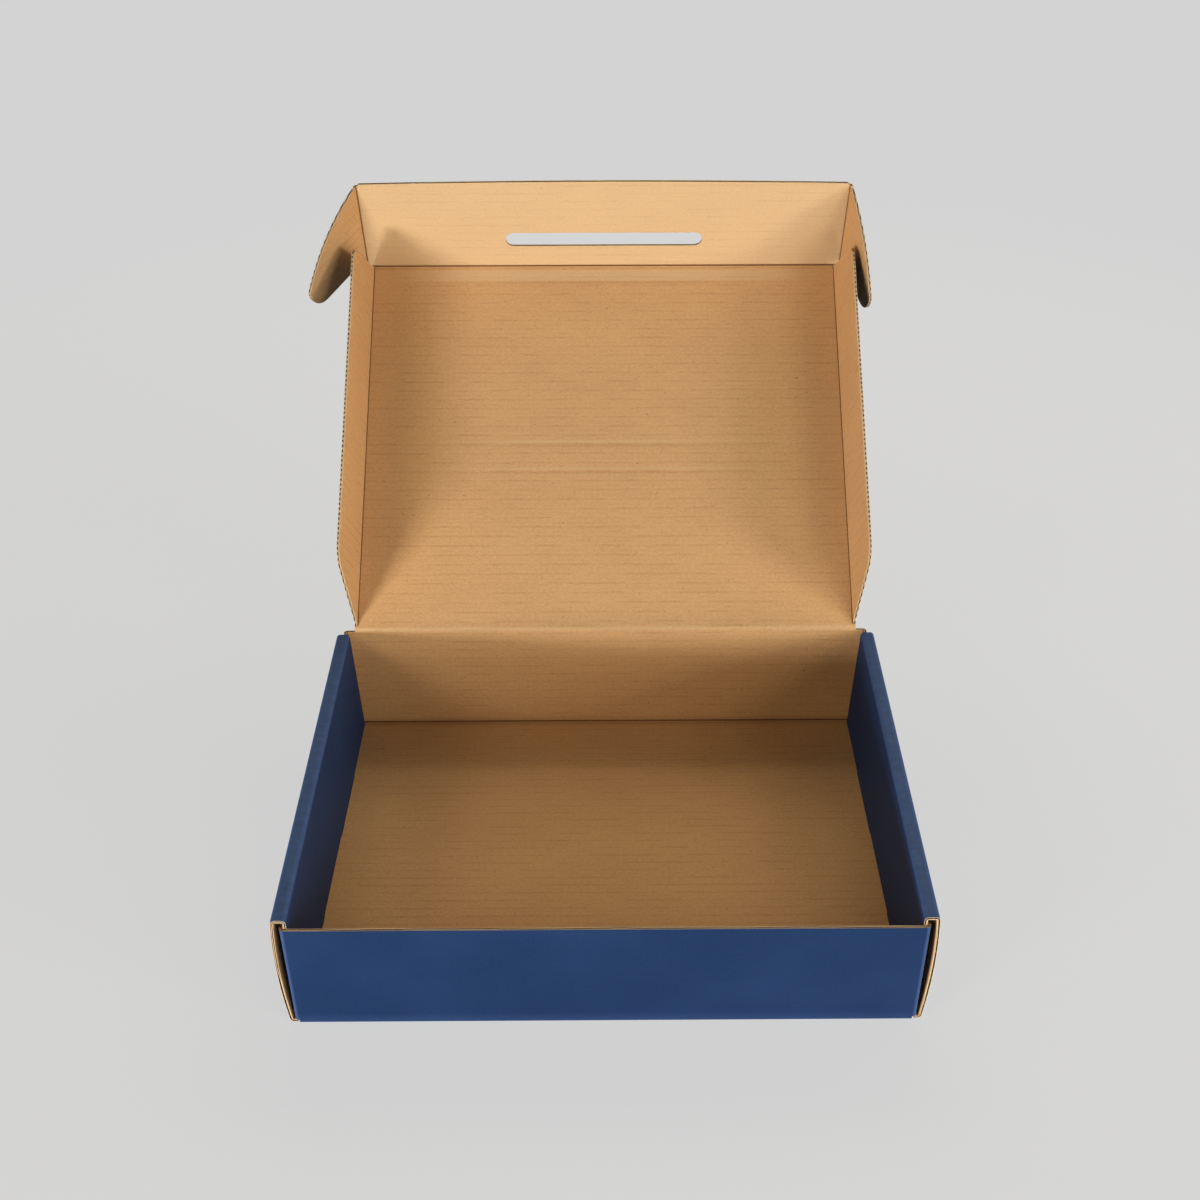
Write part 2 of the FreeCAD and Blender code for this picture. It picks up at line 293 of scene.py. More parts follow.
@dataclass(frozen=True)
class Bend:
    """A line of board bent at rounded corners, seen along the folds.

    Attributes:
        corners: The line's ends and corners.
        radii: Mid-thickness radius at each corner between the ends.
        inner_side: 1 where the unprinted face is on the left of the line, -1 on the right.
        step: Longest straight piece.
        arc_steps: Pieces in each bend.
        sharp_radius: Radius up to which a bend gets its painted shading and rubbing in full.
    """

    corners: tuple[Pair, ...]
    radii: tuple[float, ...]
    inner_side: int
    step: float = 4.0
    arc_steps: int = 8
    sharp_radius: float = 4.0

    def line(self) -> tuple[Array, Array, Array, Array]:
        """The bent line, each corner replaced by an arc that touches both its sides.

        Returns:
            Places, inward unit vectors, distances along the line and each bend's painted shading and
            rubbing, which peaks in the middle of a bend and is 0 on a straight stretch.
        """
        corners = np.array(self.corners)
        runs = np.diff(corners, axis=0)
        ways = runs / np.linalg.norm(runs, axis=1)[:, None]
        left = np.stack([-ways[:, 1], ways[:, 0]], axis=1)
        places, inward, shading_and_wear = [corners[:1]], [left[:1]], [np.zeros(1)]
        for index, radius in enumerate(self.radii):
            way, after = ways[index], ways[index + 1]
            turn = math.atan2(way[0] * after[1] - way[1] * after[0], way @ after)
            sign = math.copysign(1.0, turn)
            reach = radius * math.tan(abs(turn) / 2)
            begin = corners[index + 1] - way * reach
            centre = begin + left[index] * sign * radius
            share = np.linspace(0, 1, self.arc_steps + 1)[:, None]
            angle = turn * share
            normal = left[index] * np.cos(angle) - way * np.sin(angle)
            straight = self.between(places[-1][-1], begin)
            places += [straight, centre - sign * radius * normal]
            inward += [np.repeat(left[index][None], len(straight), axis=0), normal]
            # The value's sign gives painted shade inside a bend of the unprinted face or painted
            # highlight over it, and rubbing on the printed face either way.
            sharp = -sign * self.inner_side * min(1.0, self.sharp_radius / radius)
            shading_and_wear += [np.zeros(len(straight)), sharp * np.sin(np.pi * share[:, 0])]
        last = np.concatenate([self.between(places[-1][-1], corners[-1]), corners[-1:]])
        places.append(last)
        inward.append(np.repeat(left[-1][None], len(last), axis=0))
        shading_and_wear.append(np.zeros(len(last)))
        route = np.concatenate(places)
        lengths = np.linalg.norm(np.diff(route, axis=0), axis=1)
        distance = np.concatenate([[0.0], np.cumsum(lengths)])
        return route, self.inner_side * np.concatenate(inward), distance, np.concatenate(shading_and_wear)

    def between(self, begin: Array, end: Array) -> Array:
        """Evenly spaced places strictly between two places.

        Args:
            begin: The first place.
            end: The other one.

        Returns:
            The places between them, no more than a step apart.
        """
        count = max(2, math.ceil(float(np.linalg.norm(end - begin)) / self.step))
        share = np.linspace(0, 1, count, endpoint=False)[1:, None]
        return begin + (end - begin) * share


@dataclass(frozen=True)
class Grain:
    """One layer of soft irregular marks on paper, made from smooth noise.

    Attributes:
        cells: Noise cells per metre along the flutes and across them.
        shows: Noise value at which the marks begin, and the one at which they are full.
        share: How much a full mark counts.
        detail: Octaves of the noise.
    """

    cells: Pair
    shows: Pair
    share: float
    detail: float = 2.0


class Nodes:
    """Adds nodes to one node tree and links them."""

    def __init__(self, tree: bpy.types.NodeTree) -> None:
        """Keep the tree that the nodes go into."""
        self.tree = tree

    def node(self, kind: str, inputs: dict | None = None, **settings: object) -> bpy.types.Node:
        """Add a node.

        Args:
            kind: Blender's name of the node type.
            inputs: Input sockets by name or number, each a value or a socket to link from.
            settings: Properties of the node itself.

        Returns:
            The node.
        """
        node = self.tree.nodes.new(kind)
        for name, value in settings.items():
            setattr(node, name, value)
        for name, value in (inputs or {}).items():
            self.feed(node.inputs[name], value)
        return node

    def feed(self, socket: bpy.types.NodeSocket, value: object) -> None:
        """Give an input socket a value, or link it from another node's output.

        Args:
            socket: The input.
            value: The value or the output socket.
        """
        if isinstance(value, bpy.types.NodeSocket):
            self.tree.links.new(value, socket)
        else:
            socket.default_value = value

    def math(self, operation: str, *values: object) -> bpy.types.NodeSocket:
        """Result of a Math node, such as a sum or a sine.

        Args:
            operation: Blender's name of the operation.
            values: The numbers or sockets that it works on.

        Returns:
            The result's socket.
        """
        node = self.node("ShaderNodeMath", dict(enumerate(values)), operation=operation)
        return node.outputs[0]

    def seen(self) -> bpy.types.NodeSocket:
        """Mark of the rays that see the plain grey.

        Returns:
            1 for camera, mirror and glass rays, and 0 for all others.
        """
        rays = self.node("ShaderNodeLightPath").outputs
        mirrored = self.math("MAXIMUM", rays["Is Glossy Ray"], rays["Is Transmission Ray"])
        return self.math("MAXIMUM", rays["Is Camera Ray"], mirrored)


class Shader(Nodes):
    """Writes the nodes of one procedural material."""

    def __init__(self, name: str) -> None:
        """Start a material with a principled surface.

        Args:
            name: The material's name.
        """
        self.material = bpy.data.materials.new(name)
        self.material.use_nodes = True
        super().__init__(self.material.node_tree)
        self.surface = self.tree.nodes["Principled BSDF"]

    def blank(self) -> tuple[bpy.types.NodeSocket, bpy.types.NodeSocket]:
        """Place on the blank in metres.

        Returns:
            The place, and how far across the flutes it is.
        """
        vector = self.node("ShaderNodeUVMap", uv_map="blank").outputs["UV"]
        return vector, self.node("ShaderNodeSeparateXYZ", {0: vector}).outputs["Y"]

    def noise(self, vector: object, cells: Pair, detail: float = 2.0) -> bpy.types.NodeSocket:
        """Smooth noise, 0 to 1.

        Args:
            vector: Where it is read.
            cells: Cells per metre along the flutes and across them.
            detail: Octaves.

        Returns:
            The noise's value socket.
        """
        scaled = self.node("ShaderNodeMapping", {"Vector": vector, "Scale": (*cells, 1.0)})
        inputs = {"Vector": scaled.outputs[0], "Scale": 1.0, "Detail": detail}
        return self.node("ShaderNodeTexNoise", inputs).outputs[0]

    def marks(self, vector: object, grain: Grain) -> bpy.types.NodeSocket:
        """A layer of marks on the paper.

        Args:
            vector: Place on the blank.
            grain: The layer.

        Returns:
            0 between the marks, rising smoothly to the layer's share on them.
        """
        noise = self.noise(vector, grain.cells, grain.detail)
        return self.math("MULTIPLY", self.steps(noise, *grain.shows), grain.share)

    def steps(self, value: object, low: float, high: float) -> bpy.types.NodeSocket:
        """Smooth step of a value.

        Args:
            value: The value.
            low: Where the step is 0.
            high: Where it is 1, which may be below the other.

        Returns:
            The step's socket.
        """
        inputs = {"Value": value, "From Min": low, "From Max": high}
        node = self.node("ShaderNodeMapRange", inputs, interpolation_type="SMOOTHSTEP")
        return node.outputs["Result"]

    def mix(self, factor: object, first: object, second: object) -> bpy.types.NodeSocket:
        """Colour between two colours.

        Args:
            factor: 0 for the first colour, 1 for the second.
            first: Linear red, green and blue, or a socket.
            second: The same for the other colour.

        Returns:
            The colour's socket.
        """
        node = self.node("ShaderNodeMix", data_type="RGBA")
        colours = [(*c, 1.0) if isinstance(c, tuple) else c for c in (first, second)]
        sockets = {socket.identifier: socket for socket in node.inputs}
        self.feed(sockets["Factor_Float"], factor)
        self.feed(sockets["A_Color"], colours[0])
        self.feed(sockets["B_Color"], colours[1])
        return next(out for out in node.outputs if out.identifier == "Result_Color")

    def attribute(self, name: str) -> bpy.types.NodeSocket:
        """Value of a named float attribute of the piece."""
        return self.node("ShaderNodeAttribute", attribute_name=name).outputs["Fac"]

    def flute_turn(self, pitch: float, cells: Pair, drift: float) -> bpy.types.NodeSocket:
        """Angle that grows by a full turn from flute to flute, with a slow drift.

        Args:
            pitch: Distance between flutes in millimetres.
            cells: Cells per metre of the drift's noise, along and across the flutes.
            drift: How far the noise shifts the angle, in radians.

        Returns:
            The angle's socket.
        """
        vector, across = self.blank()
        shift = self.math("MULTIPLY", self.noise(vector, cells), drift)
        return self.math("MULTIPLY_ADD", across, 2 * math.pi / (pitch * MM), shift)

    def washboard(self, pitch: float, cells: Pair = (6.0, 25.0), drift: float = 3.0,
                  second: float = 0.6) -> bpy.types.NodeSocket:
        """Relief of the flutes under the liner: a sine, every second ridge a little stronger.

        Args:
            pitch: Distance between flutes in millimetres.
            cells: Cells per metre of the drift's noise, along and across the flutes.
            drift: How far the noise shifts the ridges, in radians.
            second: How much the wave of twice the pitch adds.

        Returns:
            A value from about -1.6 to 1.6.
        """
        turn = self.flute_turn(pitch, cells, drift)
        coarse = self.math("SINE", self.math("MULTIPLY", turn, 0.5))
        return self.math("MULTIPLY_ADD", coarse, second, self.math("SINE", turn))

    def finish(self, colour: object, roughness: object, specular: float, height: object,
               depth: float) -> bpy.types.Material:
        """Set the surface and return the material.

        Args:
            colour: Base colour socket.
            roughness: Roughness value or socket.
            specular: Specular level.
            height: Height of the relief, in units of its depth.
            depth: Depth of the relief in millimetres.

        Returns:
            The finished material.
        """
        inputs = {"Height": height, "Strength": 1.0, "Distance": depth * MM}
        bump = self.node("ShaderNodeBump", inputs)
        self.feed(self.surface.inputs["Base Color"], colour)
        self.feed(self.surface.inputs["Roughness"], roughness)
        self.feed(self.surface.inputs["Specular IOR Level"], specular)
        self.feed(self.surface.inputs["Normal"], bump.outputs[0])
        return self.material


@dataclass(frozen=True)
class KraftLiner:
    """Unprinted brown liner: soft paper grain, faint dashes along the flutes and a few specks.

    Painted shade lies between the flutes' ridges and inside folds, and painted highlight over
    fold ridges and on some paled stretches.

    Attributes:
        base: Colour of the paper.
        shade: Colour of the darker fibres, and of the painted shade in the washboard's troughs.
        speck: Colour of the reddish specks of bark.
        valley_shade: Colour of the painted shade deep in a pressed fold.
        painted_highlight: Colour of the painted highlight on fold ridges, on the lid's raised lines,
            on the band below the tuck fold and over the tuck flap.
        pitch: Distance between flutes in millimetres.
        trough_shade: Washboard height at which the painted shade between the flutes' ridges begins,
            and where it is darkest.
        lines: Marks that break the troughs' painted shade up into dashes.
        tones: Marks that darken the paper anywhere, from short dashes to single fibres.
        specks: Marks of bark.
        fibre_cells: Noise cells per metre of the fibres' relief.
        fibre_height: Height of that relief, as a share of the washboard's.
        ridge_highlight_share: How far the paper is paled on a full ridge, as a painted highlight.
        valley_shade_full: Value of the fold shading at which the painted shade in a fold is darkest.
        valley_share: How dark that painted shade is there.
        roughness: Roughness of the paper.
        specular: Its specular level.
        relief: Depth of the washboard in millimetres.
    """

    base: Colour = to_linear(216, 170, 114)
    shade: Colour = to_linear(166, 118, 74)
    speck: Colour = to_linear(120, 72, 42)
    valley_shade: Colour = to_linear(104, 60, 27)
    painted_highlight: Colour = to_linear(218, 196, 153)
    pitch: float = 3.0
    trough_shade: Pair = (-0.2, -1.1)
    lines: Grain = Grain(cells=(55.0, 330.0), shows=(0.36, 0.64), share=0.20)
    tones: tuple[Grain, ...] = (
        Grain(cells=(130.0, 1100.0), shows=(0.52, 0.8), share=0.16),
        Grain(cells=(18.0, 30.0), shows=(0.3, 0.8), share=0.10, detail=3.0),
        Grain(cells=(560.0, 640.0), shows=(0.3, 0.75), share=0.20),
        Grain(cells=(1300.0, 1500.0), shows=(0.3, 0.75), share=0.22),
    )
    specks: Grain = Grain(cells=(330.0, 620.0), shows=(0.73, 0.80), share=0.6, detail=1.0)
    fibre_cells: Pair = (1300.0, 1500.0)
    fibre_height: float = 0.5
    ridge_highlight_share: float = 0.45
    valley_shade_full: float = -0.6
    valley_share: float = 0.95
    roughness: float = 0.78
    specular: float = 0.22
    relief: float = 0.014

    def build(self, name: str) -> bpy.types.Material:
        """Make the material.

        Args:
            name: The material's name.

        Returns:
            The material.
        """
        shader = Shader(name)
        vector, _ = shader.blank()
        wave = shader.washboard(self.pitch)
        # Painted shade between the flutes' ridges, broken into dashes, besides the paper's own darker
        # tones.
        trough_shade = shader.steps(wave, *self.trough_shade)
        share = shader.math("MULTIPLY", trough_shade, shader.marks(vector, self.lines))
        for tone in self.tones:
            share = shader.math("ADD", share, shader.marks(vector, tone))
        toned = shader.mix(share, self.base, self.shade)
        speckled = shader.mix(shader.marks(vector, self.specks), toned, self.speck)
        shading_and_wear, paling_and_highlight = shader.attribute("shading_and_wear"), shader.attribute("paling_and_highlight")
        # Painted highlight: fold ridges and the paled stretches lighten the paper.
        lift = shader.math("MULTIPLY_ADD", shader.steps(shading_and_wear, 0.0, 1.0), self.ridge_highlight_share, paling_and_highlight)
        highlighted = shader.mix(lift, speckled, self.painted_highlight)
        # Painted shade inside folds.
        valley_shade = shader.steps(shading_and_wear, 0.0, self.valley_shade_full)
        pressed = shader.math("MULTIPLY", valley_shade, self.valley_share)
        colour = shader.mix(pressed, highlighted, self.valley_shade)
        fibres = shader.noise(vector, self.fibre_cells)
        height = shader.math("MULTIPLY_ADD", fibres, self.fibre_height, wave)
        return shader.finish(colour, self.roughness, self.specular, height, self.relief)


@dataclass(frozen=True)
class NavyPrint:
    """Printed and varnished outer liner in one deep blue, lightened where folds rub it and, as a
    painted highlight, along the rims' tops.

    Attributes:
        base: Colour of the ink.
        paling_and_highlight: Colour of the ink where folds and handling rub it, also used for the
            painted highlight along the rims' tops.
        pitch: Distance between flutes in millimetres.
        tones: Marks that make the ink uneven.
        rub_cells: Noise cells per metre of the breaks in the rubbing of a fold.
        rub_floor: Share of the rubbing that no break takes away.
        rub_share: How far the ink is paled at full rubbing, which the rims' painted highlight also
            uses.
        cloud_cells: Noise cells per metre of the varnish's unevenness.
        roughness: Roughness at the least, and what the unevenness adds to it.
        specular: Specular level of the varnish.
        grain_cells: Noise cells per metre of its fine relief.
        grain_height: Height of that relief, as a share of the washboard's.
        relief: Depth of the washboard in millimetres.
    """

    base: Colour = to_linear(19, 43, 77)
    paling_and_highlight: Colour = to_linear(78, 104, 150)
    pitch: float = 3.0
    tones: tuple[Grain, ...] = (
        Grain(cells=(14.0, 18.0), shows=(0.3, 0.8), share=0.07, detail=3.0),
        Grain(cells=(1300.0, 1300.0), shows=(0.35, 0.75), share=0.07),
    )
    rub_cells: Pair = (160.0, 260.0)
    rub_floor: float = 0.3
    rub_share: float = 0.85
    cloud_cells: Pair = (14.0, 18.0)
    roughness: Pair = (0.52, 0.14)
    specular: float = 0.12
    grain_cells: Pair = (1300.0, 1300.0)
    grain_height: float = 0.25
    relief: float = 0.010

    def build(self, name: str) -> bpy.types.Material:
        """Make the material.

        Args:
            name: The material's name.

        Returns:
            The material.
        """
        shader = Shader(name)
        vector, _ = shader.blank()
        rubs = shader.noise(vector, self.rub_cells, 4.0)
        kept = shader.math("MULTIPLY_ADD", rubs, 1 - self.rub_floor, self.rub_floor)
        # Rubbing at the folds, and the painted highlight along the rims' tops, lighten the ink.
        folded = shader.math("ABSOLUTE", shader.attribute("shading_and_wear"))
        share = shader.math("MULTIPLY", shader.math("MULTIPLY", folded, kept), self.rub_share)
        for tone in self.tones:
            share = shader.math("ADD", share, shader.marks(vector, tone))
        colour = shader.mix(share, self.base, self.paling_and_highlight)
        cloud = shader.noise(vector, self.cloud_cells, 3.0)
        least, more = self.roughness
        roughness = shader.math("MULTIPLY_ADD", cloud, more, least)
        grain = shader.noise(vector, self.grain_cells)
        height = shader.math("MULTIPLY_ADD", grain, self.grain_height, shader.washboard(self.pitch))
        return shader.finish(colour, roughness, self.specular, height, self.relief)


@dataclass(frozen=True)
class CutEdge:
    """Raw die-cut edge: two liners and the wavy medium between them, with open flutes.

    Where the edge crosses the flutes, one half of each shows the medium's slope, painted as lit, and
    the other half is open, with painted shade.

    Attributes:
        liner: Colour of the cut liners.
        medium: Colour of the corrugated medium.
        hollow_shade: Colour of the painted shade inside the open flutes.
        pitch: Distance between flutes in millimetres.
        drift_cells: Noise cells per metre of the flutes' unevenness.
        drift: How far it shifts them, in radians.
        swing: How far the medium's wave reaches from mid thickness, as shares of the board.
        medium_edge: Distance from the wave where the medium ends, and where it is solid.
        slope_turn: Sine of the flute's angle where its slope begins to show, and shows in full.
        slope_share: How strongly the slope shows.
        liner_edge: Distance from mid thickness where a liner begins, and where it is solid.
        ragged_cells: Noise cells per metre of the liners' torn fibres.
        ragged: How far these reach inward, as a share of the board.
        roughness: Roughness of the torn paper.
        specular: Its specular level.
        relief: Depth of the open flutes in millimetres.
    """

    liner: Colour = to_linear(226, 198, 158)
    medium: Colour = to_linear(214, 180, 138)
    hollow_shade: Colour = to_linear(34, 20, 11)
    pitch: float = 3.0
    drift_cells: Pair = (30.0, 30.0)
    drift: float = 5.0
    swing: float = 0.27
    medium_edge: Pair = (0.19, 0.08)
    slope_turn: Pair = (0.3, -0.4)
    slope_share: float = 0.85
    liner_edge: Pair = (0.37, 0.44)
    ragged_cells: Pair = (700.0, 700.0)
    ragged: float = 0.10
    roughness: float = 0.9
    specular: float = 0.15
    relief: float = 0.3

    def build(self, name: str) -> bpy.types.Material:
        """Make the material.

        Args:
            name: The material's name.

        Returns:
            The material.
        """
        shader = Shader(name)
        vector, _ = shader.blank()
        depth = shader.attribute("depth")
        wave = shader.math("SINE", shader.flute_turn(self.pitch, self.drift_cells, self.drift))
        middle = shader.math("MULTIPLY_ADD", wave, self.swing, 0.5)
        gap = shader.math("ABSOLUTE", shader.math("SUBTRACT", depth, middle))
        slope = shader.math("MULTIPLY", shader.steps(wave, *self.slope_turn), self.slope_share)
        lit = shader.math("MULTIPLY", slope, shader.attribute("crossing"))
        medium = shader.math("MAXIMUM", shader.steps(gap, *self.medium_edge), lit)
        edge = shader.math("ABSOLUTE", shader.math("SUBTRACT", depth, 0.5))
        fibres = shader.noise(vector, self.ragged_cells, 3.0)
        reach = shader.math("MULTIPLY_ADD", fibres, self.ragged, edge)
        liner = shader.steps(reach, *self.liner_edge)
        # Painted shade in the open flutes, where the medium does not show.
        inner = shader.mix(medium, self.hollow_shade, self.medium)
        colour = shader.mix(liner, inner, self.liner)
        height = shader.math("MAXIMUM", medium, liner)
        return shader.finish(colour, self.roughness, self.specular, height, self.relief)


@dataclass(frozen=True)
class BoardFinish:
    """The three finishes of one make of board, in the order of Face.

    Attributes:
        unprinted: Finish of the inner liner.
        printed: Finish of the outer liner.
        cut: Finish of the cut edge.
    """

    unprinted: KraftLiner = KraftLiner()
    printed: NavyPrint = NavyPrint()
    cut: CutEdge = CutEdge()

    def build(self) -> dict[Face, bpy.types.Material]:
        """Make the three materials.

        Returns:
            The materials, keyed by the surface that they dress.
        """
        return {
            Face.UNPRINTED: self.unprinted.build("kraft_liner"),
            Face.PRINTED: self.printed.build("navy_print"),
            Face.CUT: self.cut.build("cut_edge"),
        }


@dataclass
class Board:
    """Corrugated board of one thickness, and the way that a net becomes a solid piece.

    Attributes:
        thickness: Thickness in millimetres.
        materials: Material of each kind of surface.
    """

    thickness: float
    materials: dict[Face, bpy.types.Material]

    def piece(self, name: str, sheet: Sheet, surface: Surface) -> bpy.types.Object:
        """Solid piece of board on a net.

        The net is laid down twice, moved inward for the unprinted face and outward for the
        printed one, and each border edge gets one quad between the two. Each border corner
        also keeps how far its edge crosses the flutes, from 0 along them to 1 across them.

        Args:
            name: Name of the object.
            sheet: The net on the blank.
            surface: Where its corners lie.

        Returns:
            The object, with its three materials, at the origin.
        """
        used, packed = np.unique(sheet.quads, return_inverse=True)
        quads = packed.reshape(-1, 4)
        flat = sheet.flat[used]
        count = len(used)
        border = Sheet(flat, quads).border()
        middle, inward = surface.middle[used], surface.inward[used]
        printed = middle - inward * surface.outer[used, None]
        unprinted = middle + inward * surface.inner[used, None]
        places = np.concatenate([printed, unprinted]) * MM
        begin, end = border.T
        edge = np.stack([begin, end, end + count, begin + count], axis=1)
        faces = np.concatenate([quads + count, quads[:, ::-1], edge])
        kinds = np.repeat([Face.UNPRINTED.value, Face.PRINTED.value, Face.CUT.value],
                          [len(quads), len(quads), len(edge)])
        mesh = bpy.data.meshes.new(name)
        mesh.from_pydata(places, [], faces)
        for kind in Face:
            mesh.materials.append(self.materials[kind])
        mesh.polygons.foreach_set("material_index", kinds.astype(np.int32))
        mesh.polygons.foreach_set("use_smooth", np.ones(len(faces), bool))
        corners = faces.ravel()
        blank = (np.concatenate([flat, flat]) * MM)[corners]
        mesh.uv_layers.new(name="blank").data.foreach_set("uv", blank.astype(np.float32).ravel())
        run = np.abs(flat[end] - flat[begin])
        crossing = np.zeros(count)
        np.maximum.at(crossing, border.ravel(), np.repeat(run[:, 1] / run.sum(axis=1), 2))
        paling_and_highlight = np.broadcast_to(surface.paling_and_highlight, surface.shading_and_wear.shape)[used]
        shares = {"depth": np.repeat([0.0, 1.0], count), "shading_and_wear": np.tile(surface.shading_and_wear[used], 2),
                  "paling_and_highlight": np.tile(paling_and_highlight, 2), "crossing": np.tile(crossing, 2)}
        for label, values in shares.items():
            data = mesh.attributes.new(label, "FLOAT", "POINT").data
            data.foreach_set("value", values.astype(np.float32))
        mesh.update()
        mesh.set_sharp_from_angle(angle=SHARP_ANGLE)
        piece = bpy.data.objects.new(name, mesh)
        bpy.context.scene.collection.objects.link(piece)
        log.info("%s: %d faces, %d on its cut edge", name, len(faces), len(edge))
        return piece


@dataclass
class Blank:
    """Sizes that the tray and the lid share, in millimetres.

    Attributes:
        board: Thickness of the board.
        bend_radius: Mid-thickness radius of a fixed fold.
        fold_clear: Where a hinged fold's strip of board begins, short of the fold's axis.
        fold_lap: Where that strip ends, past the axis.
        tray_depth: Depth of the tray over its end walls.
        tray_base_width: Width of the tray at its foot.
        side_wall_flare: How far each side wall's top stands out beyond its foot.
        rim_land: Width of a side wall's top, over both its layers.
        rim_front_setback: Gap between the side walls' ends and the front wall.
        rim_back_setback: The same at the back wall.
        hinge_height: Height of the lid's hinge.
        inner_foot_lean_front: How far an inner wall's foot is inboard of its top, at the front.
        inner_foot_lean_back: The same at the back.
        corner_flap_clearance: Gap between a side wall and the corner flaps inside it.
        lid_front_gap: Gap between the closed lid's front fold and the front wall.
        lid_hinge_side_gap: Gap between the wing folds and the side walls, at the hinge.
        lid_front_side_gap: The same at the lid's front, with the lid closed.
    """

    board: float = 1.6
    bend_radius: float = 1.5
    fold_clear: float = 1.1
    fold_lap: float = 2.0
    tray_depth: float = 245.4
    tray_base_width: float = 315.4
    side_wall_flare: float = 2.3
    rim_land: float = 7.6
    rim_front_setback: float = 0.2
    rim_back_setback: float = 2.9
    hinge_height: float = 70.3
    inner_foot_lean_front: float = 1.0
    inner_foot_lean_back: float = 3.3
    corner_flap_clearance: float = 1.2
    lid_front_gap: float = 1.2
    lid_hinge_side_gap: float = 3.8
    lid_front_side_gap: float = 5.8

    def __post_init__(self) -> None:
        """Work out the places that follow from the sizes."""
        self.wall_outer_y = self.tray_depth / 2
        self.wall_inner_y = self.wall_outer_y - self.board
        self.hinge_y = self.wall_outer_y - self.board / 2
        self.rim_front_y = -self.wall_inner_y + self.rim_front_setback
        self.rim_back_y = self.wall_inner_y - self.rim_back_setback
        self.rim_half = self.tray_base_width / 2 + self.side_wall_flare
        self.inner_top_half = self.rim_half - self.rim_land
        self.lid_length = self.hinge_y + self.wall_inner_y - self.lid_front_gap - self.board / 2
        self.bend_reach = self.board / 2 + 2 * self.bend_radius
        self.floor_half_x = self.tray_base_width / 2 - self.bend_reach
        self.floor_half_y = self.wall_outer_y - self.bend_reach
        self.wall_foot_half = (self.tray_base_width / 2 - self.board - self.corner_flap_clearance
                               - self.board / 2)
        self.lid_hinge_half = self.inner_top_half - self.lid_hinge_side_gap
        self.lid_front_half = self.inner_top_half - self.lid_front_side_gap
        self.ear_fold_half = (self.inner_top_half - self.inner_foot_lean_front
                              - (self.fold_clear - self.board / 2) - self.board / 2)

    def lid_half_at(self, along: Array | float) -> Array | float:
        """Half the width between the wing folds, straight from the hinge's to the front's.

        Args:
            along: Distance from the hinge.

        Returns:
            Half the width there.
        """
        share = along / self.lid_length
        return self.lid_hinge_half + (self.lid_front_half - self.lid_hinge_half) * share

    def foot_lean(self, y: Array | float) -> Array | float:
        """Lean of the inner wall, straight from its front end's to its back end's.

        Args:
            y: Place along the wall.

        Returns:
            How far the wall's foot is inboard of its top there.
        """
        share = (y - self.rim_front_y) / (self.rim_back_y - self.rim_front_y)
        lean = self.inner_foot_lean_back - self.inner_foot_lean_front
        return self.inner_foot_lean_front + lean * share


